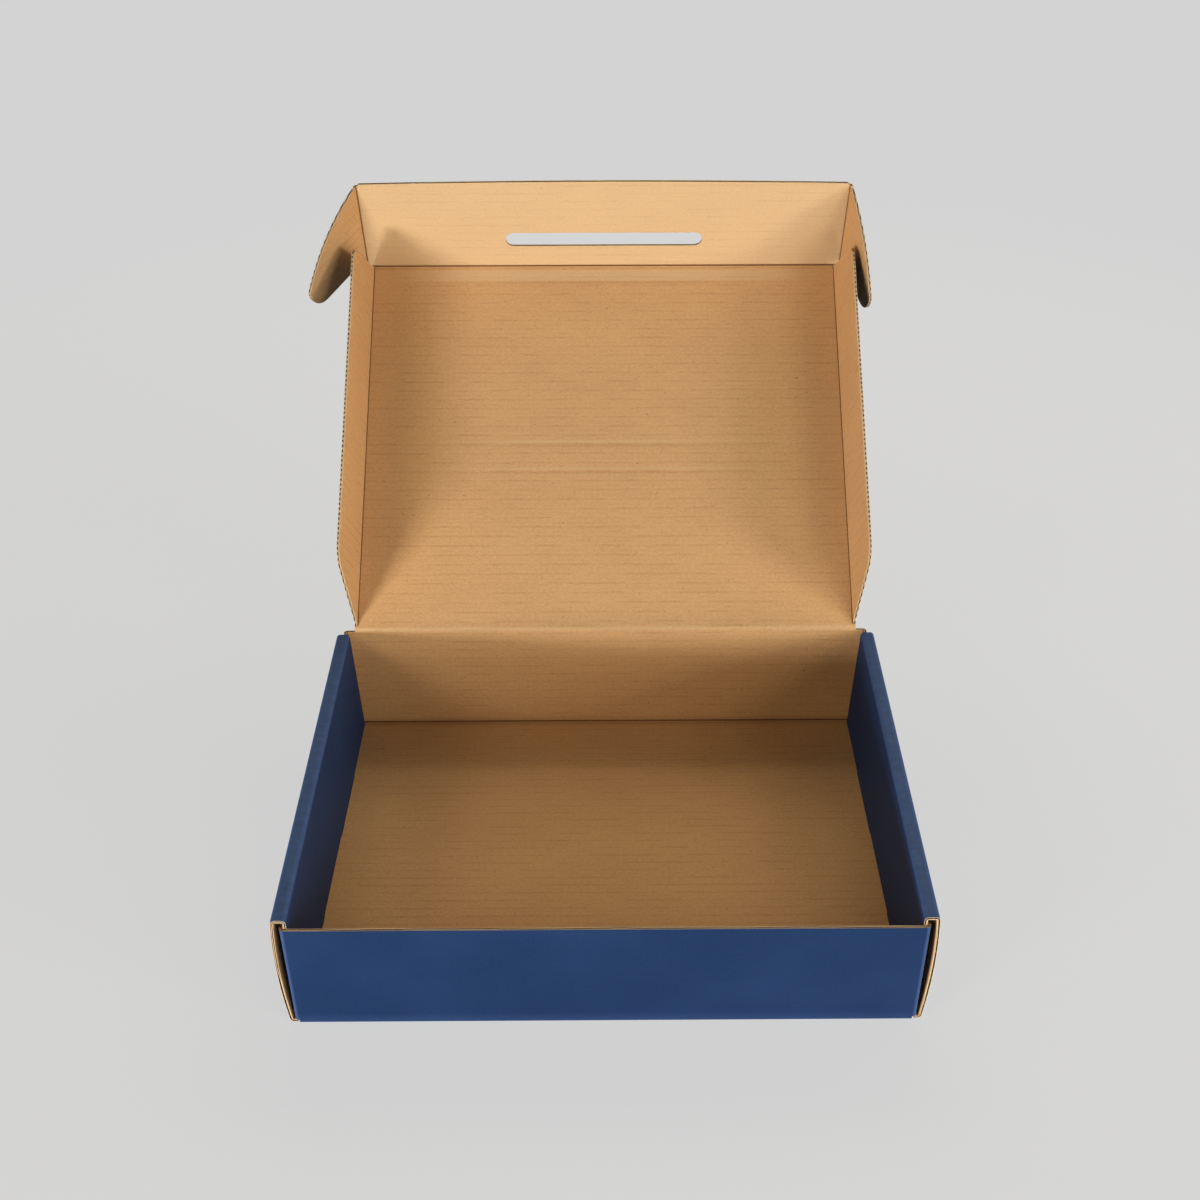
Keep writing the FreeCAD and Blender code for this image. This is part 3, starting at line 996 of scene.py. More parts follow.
@dataclass
class Tray:
    """Floor, end walls with corner flaps, and rolled side walls with locking tabs.

    Lengths are in millimetres.

    Attributes:
        blank: Sizes that it shares with the lid.
        board: The board that it is made of.
        step: Longest cell of the nets.
        wall_rows: Rows of an end wall's net.
        side_wall_height: Height of the rolled walls.
        side_wall_bulge: How far they bow outward at mid height.
        bow_share: Share of the height over which the bow is one arc.
        rim_radius: Mid-thickness radius of the folds along their tops.
        rim_top_highlight: Painted highlight along their whole tops, as lightened ink.
        rim_highlight_depth: How far below the tops it reaches.
        front_wall_height: Height of the front wall.
        wall_end_flare: How far the end walls' ends move outward over that height.
        foot_shade: Painted shade that the end walls' lower folds get on the board beside them.
        inner_foot_clearance: Gap under the inner walls, between the tabs.
        corner_flap_length: Reach of a corner flap from the end wall's outer face.
        corner_flap_height: Height of its top edge at its fold.
        corner_flap_slope: How far its upper and lower edges draw in towards its free end.
        corner_flap_floor_gap: Gap between it and the floor.
        tab_length: Length of a locking tab.
        tab_centres: Places of the tabs along the wall, from the box's middle.
        tab_tip_height: Height of the tabs' tips, which end inside the floor.
        tab_slot_clearance: Gap between a tab and its slot, at its ends and outboard.
        tab_slot_snug: The same inboard, on the side that is seen.
        pull_start: Distance from the middle at which the floor's net begins to follow the slots.
    """

    blank: Blank
    board: Board
    step: float = 6.0
    wall_rows: int = 15
    side_wall_height: float = 69.4
    side_wall_bulge: float = 1.5
    bow_share: float = 0.9
    rim_radius: float = 1.5
    rim_top_highlight: float = 0.8
    rim_highlight_depth: float = 1.7
    front_wall_height: float = 64.4
    wall_end_flare: float = 1.1
    foot_shade: float = 0.2
    inner_foot_clearance: float = 0.3
    corner_flap_length: float = 72.0
    corner_flap_height: float = 63.2
    corner_flap_slope: float = 7.0
    corner_flap_floor_gap: float = 1.4
    tab_length: float = 54.0
    tab_centres: tuple[float, ...] = (-75.5, 42.5)
    tab_tip_height: float = 0.2
    tab_slot_clearance: float = 0.5
    tab_slot_snug: float = 0.15
    pull_start: float = 100.0

    def build(self) -> list[bpy.types.Object]:
        """Build every piece of the tray and let it ride on the tray's body.

        Returns:
            The pieces.
        """
        pieces = [self.floor()]
        pieces += [self.side_wall(name, side) for name, side in SIDES.items()]
        for name, facing, height in (("front", -1, self.front_wall_height),
                                     ("back", 1, self.blank.hinge_height - self.blank.fold_clear)):
            pieces.append(self.end_foot(name, facing))
            pieces.append(self.end_wall(name, facing, height))
        for piece in pieces:
            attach(piece, "tray")
            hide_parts("tray")
        return pieces

    def slots(self) -> list[tuple[float, float, float, float]]:
        """Slots of the right side's tabs, before their slant.

        Returns:
            Inboard, outboard, front and back limit of each.
        """
        size = self.blank
        limits = []
        for centre in self.tab_centres:
            reach = self.tab_length / 2 + self.tab_slot_clearance
            inboard = size.inner_top_half - size.foot_lean(0) - self.tab_slot_snug
            outboard = size.inner_top_half - size.foot_lean(0) + size.board + self.tab_slot_clearance
            limits.append((inboard, outboard, centre - reach, centre + reach))
        return limits

    def floor(self) -> bpy.types.Object:
        """Floor panel: a grid of x and y lines, without the cells in the tab slots.

        Near its sides the grid is pulled in as much as the inner walls' feet lean there, so
        that the slots run along them.

        Returns:
            The floor.
        """
        size = self.blank
        slots = self.slots()
        edges_x = sorted({limit for slot in slots for limit in slot[:2]})
        stops_x = [-size.floor_half_x, *(-x for x in reversed(edges_x)), *edges_x, size.floor_half_x]
        stops_y = [-size.floor_half_y, *(y for slot in slots for y in slot[2:]), size.floor_half_y]
        xs, ys = spread(stops_x, self.step), spread(stops_y, self.step)
        flat = np.stack(np.meshgrid(xs, ys, indexing="ij"), axis=-1)
        middle_x = np.abs(xs[:-1] + xs[1:])[:, None] / 2
        middle_y = (ys[:-1] + ys[1:])[None] / 2
        keep = np.ones((len(xs) - 1, len(ys) - 1), bool)
        for inboard, outboard, front, back in slots:
            in_x = (middle_x > inboard) & (middle_x < outboard)
            keep &= ~(in_x & (middle_y > front) & (middle_y < back))
        marks = [self.pull_start, edges_x[0], edges_x[-1], size.floor_half_x]
        pull = np.interp(np.abs(xs), marks, [0, 1, 1, 0])
        lean = size.foot_lean(ys) - size.foot_lean(0)
        flat[..., 0] -= np.sign(xs)[:, None] * pull[:, None] * lean
        sheet = Sheet.from_grid(flat, keep)
        origin = np.array([0.0, 0.0, size.board / 2])
        plane = Plane(origin, np.array([1.0, 0.0, 0.0]), np.array([0.0, 1.0, 0.0]))
        surface = plane.surface(sheet, size.board)
        # Painted shade along the floor's front and back edges, beside the folds up into the end
        # walls.
        at_foot = np.isclose(np.abs(sheet.flat[:, 1]), size.floor_half_y)
        surface.shading_and_wear = np.where(at_foot, -self.foot_shade, 0.0)
        return self.board.piece("tray_floor", sheet, surface)

    def side_profile(self, lean: float) -> Bend:
        """Section of the right side wall: up the outer wall, over its top and down the inner one.

        Args:
            lean: How far the inner wall's foot is inboard of its top.

        Returns:
            The section, across the box and up.
        """
        size = self.blank
        middle = size.board / 2
        foot = size.tray_base_width / 2 - middle
        top_out = size.rim_half - middle
        top_in = size.inner_top_half + middle
        rim = self.side_wall_height - middle
        bow_height = self.side_wall_height / 2
        bow = (foot + top_out) / 2 + 2 * self.side_wall_bulge
        bow_turn = 2 * math.atan(2 * self.side_wall_bulge / bow_height)
        bow_reach = self.bow_share * (bow_height - 2 * size.bend_radius)
        bow_radius = bow_reach / math.tan(bow_turn / 2)
        corners = ((foot - 2 * size.bend_radius, middle), (foot, middle), (bow, bow_height),
                   (top_out, rim), (top_in, rim), (top_in - lean, self.tab_tip_height))
        radii = (size.bend_radius, bow_radius, self.rim_radius, self.rim_radius)
        return Bend(corners, radii, 1, arc_steps=10)

    def side_wall(self, name: str, side: int) -> bpy.types.Object:
        """Rolled side wall, its section carried along the wall.

        The sections at the two ends differ in the lean of the inner wall's foot, and each
        one between them is their weighted mean. Between the tabs the last cells are left out.

        Args:
            name: Left or right.
            side: -1 or 1.

        Returns:
            The wall.
        """
        size = self.blank
        front, normal_f, length, shading_and_wear = self.side_profile(size.inner_foot_lean_front).line()
        back, normal_b, _, _ = self.side_profile(size.inner_foot_lean_back).line()
        tip, above = front[-1], front[-2]
        lower_edge = size.board + self.inner_foot_clearance
        cut_share = (lower_edge - tip[1]) / (above[1] - tip[1])
        tab_ends = [c + s * self.tab_length / 2 for c in self.tab_centres for s in (-1, 1)]
        stops = [size.rim_front_y, *tab_ends, size.rim_back_y]
        ys = spread(stops, self.step)
        share = ((ys - size.rim_front_y) / (size.rim_back_y - size.rim_front_y))[:, None, None]

        def with_cut(rows: Array) -> Array:
            """Rows of the section with one more at the inner wall's lower edge."""
            extra = rows[-1] + (rows[-2] - rows[-1]) * cut_share
            return np.concatenate([rows[:-1], extra[None], rows[-1:]])

        section = with_cut(front) + (with_cut(back) - with_cut(front)) * share
        normal = with_cut(normal_f) + (with_cut(normal_b) - with_cut(normal_f)) * share
        distance = with_cut(length)
        # Painted highlight along the whole top, on the printed face; the bends below keep their own
        # painted shading and rubbing.
        land = with_cut(front)[:, 1] > self.side_wall_height - self.rim_highlight_depth
        shading_wear = np.broadcast_to(np.where(land, -self.rim_top_highlight, with_cut(shading_and_wear)), section.shape[:2])
        spot = np.broadcast_to(ys[:, None], section.shape[:2])
        middle = np.stack([side * section[..., 0], spot, section[..., 1]], axis=-1)
        inward = np.stack([side * normal[..., 0], np.zeros_like(spot), normal[..., 1]], axis=-1)
        out = np.broadcast_to(size.floor_half_x + distance, spot.shape)
        flat = np.stack([side * out, spot], axis=-1)
        keep = np.ones((len(ys) - 1, len(distance) - 1), bool)
        centre = (ys[:-1] + ys[1:]) / 2
        in_tab = [np.abs(centre - c) < self.tab_length / 2 for c in self.tab_centres]
        keep[:, -1] = np.any(in_tab, axis=0)
        sheet = Sheet.from_grid(flat, keep)
        surface = Surface.even(middle, inward, size.board, shading_wear)
        return self.board.piece(f"tray_side_{name}", sheet, surface)

    def end_foot(self, name: str, facing: int) -> bpy.types.Object:
        """Bend from the floor up into an end wall, carried straight along the wall.

        Args:
            name: Front or back.
            facing: -1 for the front, 1 for the back.

        Returns:
            The strip.
        """
        size = self.blank
        middle = size.board / 2
        wall = size.wall_outer_y - middle
        top = size.board + self.corner_flap_floor_gap
        corners = ((size.floor_half_y, middle), (wall, middle), (wall, top))
        route, normal, distance, shading_and_wear = Bend(corners, (size.bend_radius,), 1).line()
        half = size.wall_foot_half - size.bend_radius
        xs = spread([-half, half], self.step)
        shape = (len(xs), len(route))
        x = np.broadcast_to(xs[:, None], shape)
        y, z = (np.broadcast_to(column, shape) for column in (facing * route[:, 0], route[:, 1]))
        out, up = (np.broadcast_to(column, shape) for column in (facing * normal[:, 0], normal[:, 1]))
        spot = np.broadcast_to(facing * (size.floor_half_y + distance), shape)
        sheet = Sheet.from_grid(np.stack([x, spot], axis=-1))
        # Painted shade across the whole foot, deeper in its bend.
        shading_wear = np.broadcast_to(np.minimum(shading_and_wear, -self.foot_shade), shape)
        middle_line = np.stack([x, y, z], axis=-1)
        inward = np.stack([np.zeros(shape), out, up], axis=-1)
        surface = Surface.even(middle_line, inward, size.board, shading_wear)
        return self.board.piece(f"tray_foot_{name}", sheet, surface)

    def end_wall(self, name: str, facing: int, height: float) -> bpy.types.Object:
        """End wall with a corner flap at each end: a U in plan, carried upward.

        The U's two ends move outward with height. A flap's upper and lower limits taper
        towards its free end, so the rows follow them.

        Args:
            name: Front or back.
            facing: -1 for the front, 1 for the back.
            height: Height of the wall's top edge.

        Returns:
            The wall with its flaps.
        """
        size = self.blank
        wall_y = size.wall_outer_y - size.board / 2
        flap_end = size.wall_outer_y - self.corner_flap_length
        low = size.board + self.corner_flap_floor_gap
        half = size.wall_foot_half
        corners = ((half, flap_end), (half, wall_y), (-half, wall_y), (-half, flap_end))
        plan, normal, distance, shading_and_wear = Bend(corners, (size.bend_radius, size.bend_radius), 1).line()
        straight = half - size.bend_radius
        root = size.wall_inner_y - size.bend_radius
        flap = np.clip((root - plan[:, 1]) / (root - flap_end), 0, 1)
        taper = self.corner_flap_slope * flap
        top = np.where(plan[:, 1] > root, height, self.corner_flap_height - taper)
        bottom = low + taper
        rows = np.linspace(0, 1, self.wall_rows)[:, None]
        z = bottom + (top - bottom) * rows
        flare = self.wall_end_flare * (z - low) / self.front_wall_height
        pull = np.clip(plan[:, 0] / straight, -1, 1)
        shape = z.shape
        x = plan[:, 0] + pull * flare
        middle = np.stack([x, np.broadcast_to(facing * plan[:, 1], shape), z], axis=-1)
        inward = np.stack([np.broadcast_to(normal[:, 0], shape),
                           np.broadcast_to(facing * normal[:, 1], shape), np.zeros(shape)], axis=-1)
        along = distance[-1] / 2 - distance
        flat = np.stack([np.broadcast_to(along, shape), facing * (size.wall_outer_y + z)], axis=-1)
        sheet = Sheet.from_grid(flat)
        # Painted shade on the wall's lowest row, beside its fold into the floor.
        beside = (plan[:, 1] > root) * self.foot_shade * (rows == 0)
        shading_wear = np.broadcast_to(shading_and_wear, shape) - beside
        surface = Surface.even(middle, inward, size.board, shading_wear)
        return self.board.piece(f"tray_wall_{name}", sheet, surface)


@dataclass
class Crease:
    """Strip of board that bends where two hinged panels meet, scored on the unprinted side.

    Attributes:
        board: The board.
        plane: Plane of the panel that the other one folds from.
        start: Blank place where the fold begins.
        end: Blank place where it ends.
        outward: Blank direction from the first panel to the second.
        angle: Fold in degrees, towards the unprinted side where positive.
        before: Where the strip begins, short of the fold's axis.
        after: Where it ends, past the axis.
        radius: Mid-thickness radius of the bend.
        step: Longest cell along the fold.
        crush: Share of the inner half of the board that the score presses down.
        score: Half width of the score.
        ripple: How far the fold wanders in and out along its length.
        ripples: The sines that make up the ripple: turn over the fold's length and start, both
            in radians, and height.
        fold_shading: Strength of the painted shade inside the fold, of the painted highlight over it
            where it bends backward, and of its rubbing.
        falloff: Power by which that shading fades towards the strip's sides.
        paling_and_highlight: How far the unprinted paper is paled at the strip's end as a painted
            highlight, from none at its start.
    """

    board: Board
    plane: Plane
    start: Pair
    end: Pair
    outward: Pair
    angle: float
    before: float
    after: float
    radius: float = 1.0
    step: float = 3.0
    crush: float = 0.55
    score: float = 0.7
    ripple: float = 0.0
    ripples: tuple[Triple, ...] = ((19.0, 0.0, 1.0), (43.0, 1.0, 0.6), (97.0, 2.0, 0.4))
    fold_shading: float = 1.0
    falloff: float = 1.5
    paling_and_highlight: float = 0.0

    def build(self, name: str, parent: str, child: str, node: str) -> bpy.types.Object:
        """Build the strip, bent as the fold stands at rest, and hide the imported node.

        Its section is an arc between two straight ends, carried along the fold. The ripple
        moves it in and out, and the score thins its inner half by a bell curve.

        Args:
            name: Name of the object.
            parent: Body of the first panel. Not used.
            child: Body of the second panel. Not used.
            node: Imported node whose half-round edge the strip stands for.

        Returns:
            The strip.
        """
        count = 1 + math.ceil(math.dist(self.start, self.end) / self.step)
        share = np.linspace(0, 1, count)[:, None]
        line = np.array(self.start) + (np.array(self.end) - np.array(self.start)) * share
        turn = math.radians(self.angle)
        reach = self.radius * math.tan(abs(turn) / 2)
        far_end = (self.after * math.cos(turn), self.after * math.sin(turn))
        corners = ((-self.before, 0.0), (0.0, 0.0), far_end)
        bend = Bend(corners, (self.radius,), 1, step=0.5, arc_steps=12)
        route, normal, distance, _ = bend.line()
        place = distance - (self.before - reach) - self.radius * abs(turn) / 2
        away = np.array([*self.outward, 0.0])
        out = away[0] * self.plane.right + away[1] * self.plane.up
        inward = self.plane.inward
        base = self.plane.place(line)
        waves = [height * np.sin(turns * share + begin) for turns, begin, height in self.ripples]
        fade = np.clip(1 - (place / np.where(place < 0, self.before, self.after)) ** 2, 0, 1)
        lift = (self.ripple * sum(waves) * fade)[..., None]
        middle = base[:, None] + route[None, :, :1] * out + route[None, :, 1:] * inward
        vectors = np.broadcast_to(normal[:, :1] * out + normal[:, 1:] * inward, middle.shape)
        middle = middle + vectors * lift
        flat = line[:, None] + place[None, :, None] * np.array(self.outward)
        sheet = Sheet.from_grid(flat)
        half = self.board.thickness / 2
        left = 1 - self.crush * np.exp(-(place / self.score) ** 2)
        shape = middle.shape[:2]
        inner = np.broadcast_to(half * left, shape).reshape(-1)
        outer = np.full(inner.shape, half)
        # Painted shade inside a fold towards the unprinted face, painted highlight over one bent
        # backward; both fade to the strip's sides.
        fold_shade = -np.sign(turn) * self.fold_shading * fade ** self.falloff
        shading_wear = np.broadcast_to(fold_shade, shape).reshape(-1)
        # Painted highlight that grows along the strip towards the paled panel beyond.
        paling_and_highlight = np.broadcast_to(self.paling_and_highlight * distance / distance[-1], shape).reshape(-1)
        surface = Surface(middle.reshape(-1, 3), vectors.reshape(-1, 3), inner, outer, shading_wear, paling_and_highlight)
        piece = self.board.piece(name, sheet, surface)
        chord = out * (1 + math.cos(turn)) + inward * math.sin(turn)
        chord = chord / np.linalg.norm(chord)
        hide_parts(node)
        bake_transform(piece)
        return piece


@dataclass
class Lid:
    """Lid panel with its wings, tuck flap and ears, and the creases between them.

    Lengths are in millimetres.

    Attributes:
        blank: Sizes that it shares with the tray.
        board: The board that it is made of.
        lid_angle: How far the lid stands open, in degrees from closed.
        hinge_reach: How far the hinge's fold runs on past the wing folds.
        panel_step: Longest cell of the lid panel's net across the flutes.
        panel_columns: Places in each row of that net.
        ridges: Distances from the hinge of the faint raised lines across the lid, drawn only as
            painted highlight.
        ridge_width: Half width of such a line.
        ridge_highlight: How strongly its painted highlight shows.
        grooves: Distances from the hinge of the faint pressed lines, drawn only as painted shade.
        groove_width: Half width of such a line.
        groove_shade: How strongly its painted shade shows.
        band: Where the band of painted highlight below the tuck fold begins and ends.
        band_blur: Distance inside its limits at which the band is at its full tone.
        band_highlight: How far the paper is paled there as a painted highlight.
        side_fade: Tilt of the ramps by which lines and band fade out at the lid's sides.
        wing_net: Rows and columns of a wing's net.
        wing_width: Width of a wing from its fold.
        wing_angles: How far each wing is folded, in degrees.
        wing_hinge_start: Where a wing's lower end meets its fold, from the hinge.
        wing_front_end: Where its upper end meets it, short of the tuck fold.
        wing_hinge_slant: How far the lower end slants away over the wing's width.
        wing_front_slant: The same for the upper end.
        wing_hinge_corner: Radius of the free corner at the lower end.
        wing_front_corner: Radius of the one at the upper end.
        wing_crease_gap: Gap between the hinge's strip and a wing crease.
        tuck_angle: How far the tuck flap is folded, in degrees.
        tuck_height: Height of the flap from its fold to its upper corners.
        tuck_crown: How far its top edge rises from there to the middle.
        tuck_corner: Size of the cut across an upper corner.
        tuck_rows: Rows of the flap's net, from its hand slot to its outline.
        tuck_highlight: How far the paper is paled on the flap's inside, a painted highlight over the
            whole flap.
        shoulder_foot: Where the flap's shoulders begin, from its fold.
        slot_length: Length of the hand slot.
        slot_height: Its height.
        slot_centre: Its distance from the fold.
        ear_net: Columns and rows of an ear's net.
        ear_angles: How far each ear is folded, in degrees.
        ear_length: Reach of an ear from its fold.
        ear_low: Height of its lower edge over the tuck fold.
        ear_foot_gap: How far its corner stands back from the flap's shoulder.
        ear_foot_run: Length over which its lower edge rises from that corner.
        ear_foot_curve: Power of the length still to run that gives the height still to rise.
        ear_tip: Height at which its tip meets its upper edge.
        ear_tip_width: Length over which its lower edge turns up into the tip.
        ear_bow: How far its upper edge bows out.
        faint_fold_shading: Strength of the painted shade in the folds of wings and ears, of the
            painted highlight over the hinge, which bends backward, and of their rubbing.
        tuck_fold_shading: The same for the tuck fold.
    """

    blank: Blank
    board: Board
    lid_angle: float = 140.6
    hinge_reach: float = 1.0
    panel_step: float = 0.9
    panel_columns: int = 60
    ridges: tuple[float, ...] = (102.4, 120.3)
    ridge_width: float = 0.9
    ridge_highlight: float = 0.6
    grooves: tuple[float, ...] = (99.5, 117.2, 228.3)
    groove_width: float = 1.0
    groove_shade: float = 0.17
    band: Pair = (229.8, 237.4)
    band_blur: float = 0.5
    band_highlight: float = 0.3
    side_fade: float = 1.4
    wing_net: tuple[int, int] = (36, 45)
    wing_width: float = 48.0
    wing_angles: dict[str, float] = field(default_factory=lambda: {"left": 83.8, "right": 84.3})
    wing_hinge_start: float = 2.5
    wing_front_end: float = 1.4
    wing_hinge_slant: float = 27.0
    wing_front_slant: float = 12.5
    wing_hinge_corner: float = 16.0
    wing_front_corner: float = 6.0
    wing_crease_gap: float = 0.1
    tuck_angle: float = 70.0
    tuck_height: float = 64.5
    tuck_crown: float = 1.8
    tuck_corner: float = 1.2
    tuck_rows: int = 9
    tuck_highlight: float = 0.38
    shoulder_foot: float = 2.6
    slot_length: float = 123.0
    slot_height: float = 10.6
    slot_centre: float = 21.8
    ear_net: tuple[int, int] = (44, 16)
    ear_angles: dict[str, float] = field(default_factory=lambda: {"left": 61.0, "right": 79.0})
    ear_length: float = 58.5
    ear_low: float = 8.0
    ear_foot_gap: float = 0.4
    ear_foot_run: float = 12.0
    ear_foot_curve: float = 1.5
    ear_tip: float = 24.0
    ear_tip_width: float = 15.0
    ear_bow: float = 6.5
    faint_fold_shading: float = 0.4
    tuck_fold_shading: float = 0.5

    def __post_init__(self) -> None:
        """Work out the planes of the lid and of the tuck flap from the folds at rest."""
        size = self.blank
        lean = math.radians(180 - self.lid_angle)
        up = np.array([0.0, math.cos(lean), math.sin(lean)])
        origin = np.array([0.0, size.hinge_y, size.hinge_height])
        self.plane = Plane(origin, np.array([1.0, 0.0, 0.0]), up)
        front = size.lid_length
        self.tuck_plane = self.plane.folded((-1, front), (1, front), self.tuck_angle)

    def build(self) -> list[bpy.types.Object]:
        """Build the panels, each on its own body, and the creases between them.

        Returns:
            The pieces.
        """
        pieces = [self.panel(), self.hinge(), self.tuck_flap(), self.tuck_crease()]
        for name, side in SIDES.items():
            pieces += [self.wing(name, side), self.wing_crease(name, side)]
            pieces += [self.ear(name, side), self.ear_crease(name, side)]
        return pieces

    def attach(self, piece: bpy.types.Object, body: str, node: str) -> bpy.types.Object:
        """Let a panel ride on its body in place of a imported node.

        Args:
            piece: The panel.
            body: The body.
            node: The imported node.

        Returns:
            The panel.
        """
        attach(piece, body)
        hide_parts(node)
        return piece

    def panel(self) -> bpy.types.Object:
        """Lid panel: straight rows between the two wing folds, which draw in to the front.

        Its painted shading is a sum of bell curves, highlight at each ridge and shade at each groove,
        and the band of painted highlight has a straight ramp at both its limits. Both fade towards
        the sides.

        Returns:
            The panel.
        """
        size = self.blank
        ys = spread([size.fold_lap, size.lid_length - size.fold_clear], self.panel_step)[:, None]
        share = np.linspace(-1, 1, self.panel_columns)
        x = share * (size.lid_half_at(ys) - size.fold_clear)
        flat = np.stack([x, np.broadcast_to(ys, x.shape)], axis=-1)
        sheet = Sheet.from_grid(flat)
        surface = self.plane.surface(sheet, size.board)
        reach = np.clip(self.side_fade * (1 - np.abs(share)), 0, 1)
        # Painted highlight along the raised lines and painted shade along the pressed ones.
        raised = sum(np.exp(-((ys - place) / self.ridge_width) ** 2) for place in self.ridges)
        pressed = sum(np.exp(-((ys - place) / self.groove_width) ** 2) for place in self.grooves)
        line = self.ridge_highlight * raised - self.groove_shade * pressed
        surface.shading_and_wear = (reach * line).reshape(-1)
        # Painted highlight in the band below the tuck fold.
        begin, end = self.band
        inside = np.clip(np.minimum(ys - begin, end - ys) + self.band_blur, 0, 1)
        surface.paling_and_highlight = (np.clip(2 * reach, 0, 1) * self.band_highlight * inside).reshape(-1)
        piece = self.board.piece("lid_panel", sheet, surface)
        return self.attach(piece, "lid", "lid")

    def hinge(self) -> bpy.types.Object:
        """Fold between the back wall and the lid, bent backward while the lid leans back.

        Returns:
            The hinge's strip.
        """
        size = self.blank
        half = size.lid_half_at(0) + self.hinge_reach
        wall = self.plane.folded((-1, 0), (1, 0), 90 - (180 - self.lid_angle))
        # The hinge bends backward, so its strip gets painted highlight over the ridge.
        crease = Crease(self.board, wall, (-half, 0), (half, 0), (0, 1), -(self.lid_angle - 90),
                        size.fold_clear, size.fold_lap, radius=2.2, crush=0.3, ripple=0.2,
                        fold_shading=self.faint_fold_shading)
        return crease.build("lid_hinge", "tray", "lid", "lid")

    def wing(self, name: str, side: int) -> bpy.types.Object:
        """Wing panel: rows parallel to its fold, between two slanted ends with round corners.

        An end's place at a distance from the fold is a straight slant, and past the point
        where the corner's circle touches it, the circle.

        Args:
            name: Left or right.
            side: -1 or 1.

        Returns:
            The wing.
        """
        size = self.blank
        rows, columns = self.wing_net
        share = np.linspace(0, 1, rows)[:, None]
        out = self.wing_width - (self.wing_width - size.fold_lap) * (1 - share) ** 2

        def end_place(rise: float, radius: float) -> Array:
            """How far an end stands back from the fold's own end, row by row.

            Args:
                rise: How far it slants away over the wing's width.
                radius: Radius of its free corner.

            Returns:
                The distance for each row.
            """
            slope = math.atan2(rise, self.wing_width)
            centre = self.wing_width - radius
            touch = centre + radius * math.sin(slope)
            height = rise * centre / self.wing_width + radius / math.cos(slope)
            circle = height - np.sqrt(np.maximum(radius ** 2 - (out - centre) ** 2, 0))
            return np.where(out < touch, rise * out / self.wing_width, circle)

        first = self.wing_hinge_start + end_place(self.wing_hinge_slant, self.wing_hinge_corner)
        last = (size.lid_length - self.wing_front_end
                - end_place(self.wing_front_slant, self.wing_front_corner))
        y = first + (last - first) * np.linspace(0, 1, columns)
        x = side * (size.lid_half_at(y) + out)
        sheet = Sheet.from_grid(np.stack([x, y], axis=-1))
        plane = self.plane.folded((side * size.lid_half_at(0), 0),
                                  (side * size.lid_half_at(size.lid_length), size.lid_length),
                                  -side * self.wing_angles[name])
        piece = self.board.piece(f"lid_wing_panel_{name}", sheet, plane.surface(sheet, size.board))
        return self.attach(piece, f"wing_{name}", f"lid_wing_{name}")

    def wing_crease(self, name: str, side: int) -> bpy.types.Object:
        """Fold between the lid and a wing.

        Args:
            name: Left or right.
            side: -1 or 1.

        Returns:
            The fold's strip.
        """
        size = self.blank
        first = size.fold_lap + self.wing_crease_gap
        last = size.lid_length - self.wing_front_end
        start = (side * size.lid_half_at(first), first)
        end = (side * size.lid_half_at(last), last)
        crease = Crease(self.board, self.plane, start, end, (side, 0), self.wing_angles[name],
                        size.fold_clear, size.fold_lap, fold_shading=self.faint_fold_shading)
        return crease.build(f"lid_wing_crease_{name}", "lid", f"wing_{name}", f"lid_wing_{name}")

    def tuck_flap(self) -> bpy.types.Object:
        """Tuck flap: a ring of cells between the outline of its hand slot and its own.

        Each column runs straight from a place on the slot's outline to the matching place
        on the flap's outline, whose top edge is an arc through its crown.

        Returns:
            The flap.
        """
        size = self.blank
        base = size.lid_length
        base_half = size.lid_half_at(base) - size.fold_clear
        side_half = size.ear_fold_half - size.fold_clear
        top = base + self.tuck_height
        corner = self.tuck_corner
        count_long, count_shoulder, count_side, count_corner = 60, 3, 14, 2
        count_end = count_shoulder + count_side + count_corner

        def run(begin: Pair, end: Pair, count: int) -> Array:
            """Places from one corner up to, but not with, the next."""
            return np.linspace(begin, end, count, endpoint=False)

        centre, radius = circle_through((side_half - corner, top), (0, top + self.tuck_crown),
                                        (corner - side_half, top))
        crown_x = np.linspace(side_half - corner, corner - side_half, count_long, endpoint=False)
        crown = np.stack([crown_x, centre[1] + np.sqrt(radius ** 2 - crown_x ** 2)], axis=1)
        shoulder = base + self.shoulder_foot
        outline = np.concatenate([
            run((-base_half, base + size.fold_lap), (base_half, base + size.fold_lap), count_long),
            run((base_half, base + size.fold_lap), (side_half, shoulder), count_shoulder),
            run((side_half, shoulder), (side_half, top - corner), count_side),
            run((side_half, top - corner), (side_half - corner, top), count_corner),
            crown,
            run((corner - side_half, top), (-side_half, top - corner), count_corner),
            run((-side_half, top - corner), (-side_half, shoulder), count_side),
            run((-side_half, shoulder), (-base_half, base + size.fold_lap), count_shoulder),
        ])
        round_end = self.slot_height / 2
        straight = self.slot_length / 2 - round_end
        middle = base + self.slot_centre
        turn = np.linspace(-np.pi / 2, np.pi / 2, count_end, endpoint=False)
        arc = round_end * np.stack([np.cos(turn), np.sin(turn)], axis=1)
        slot = np.concatenate([
            run((-straight, middle - round_end), (straight, middle - round_end), count_long),
            arc + (straight, middle),
            run((straight, middle + round_end), (-straight, middle + round_end), count_long),
            -arc + (-straight, middle),
        ])
        share = np.linspace(0, 1, self.tuck_rows)[:, None, None]
        sheet = Sheet.from_grid(slot + (outline - slot) * share, closed=True)
        surface = self.tuck_plane.surface(sheet, size.board)
        # Painted highlight over the whole flap.
        surface.paling_and_highlight = self.tuck_highlight
        return self.attach(self.board.piece("tuck_panel", sheet, surface), "tuck_flap", "tuck_flap")

    def tuck_crease(self) -> bpy.types.Object:
        """Fold between the lid and the tuck flap.

        Returns:
            The fold's strip.
        """
        size = self.blank
        half = size.lid_half_at(size.lid_length) + size.fold_clear
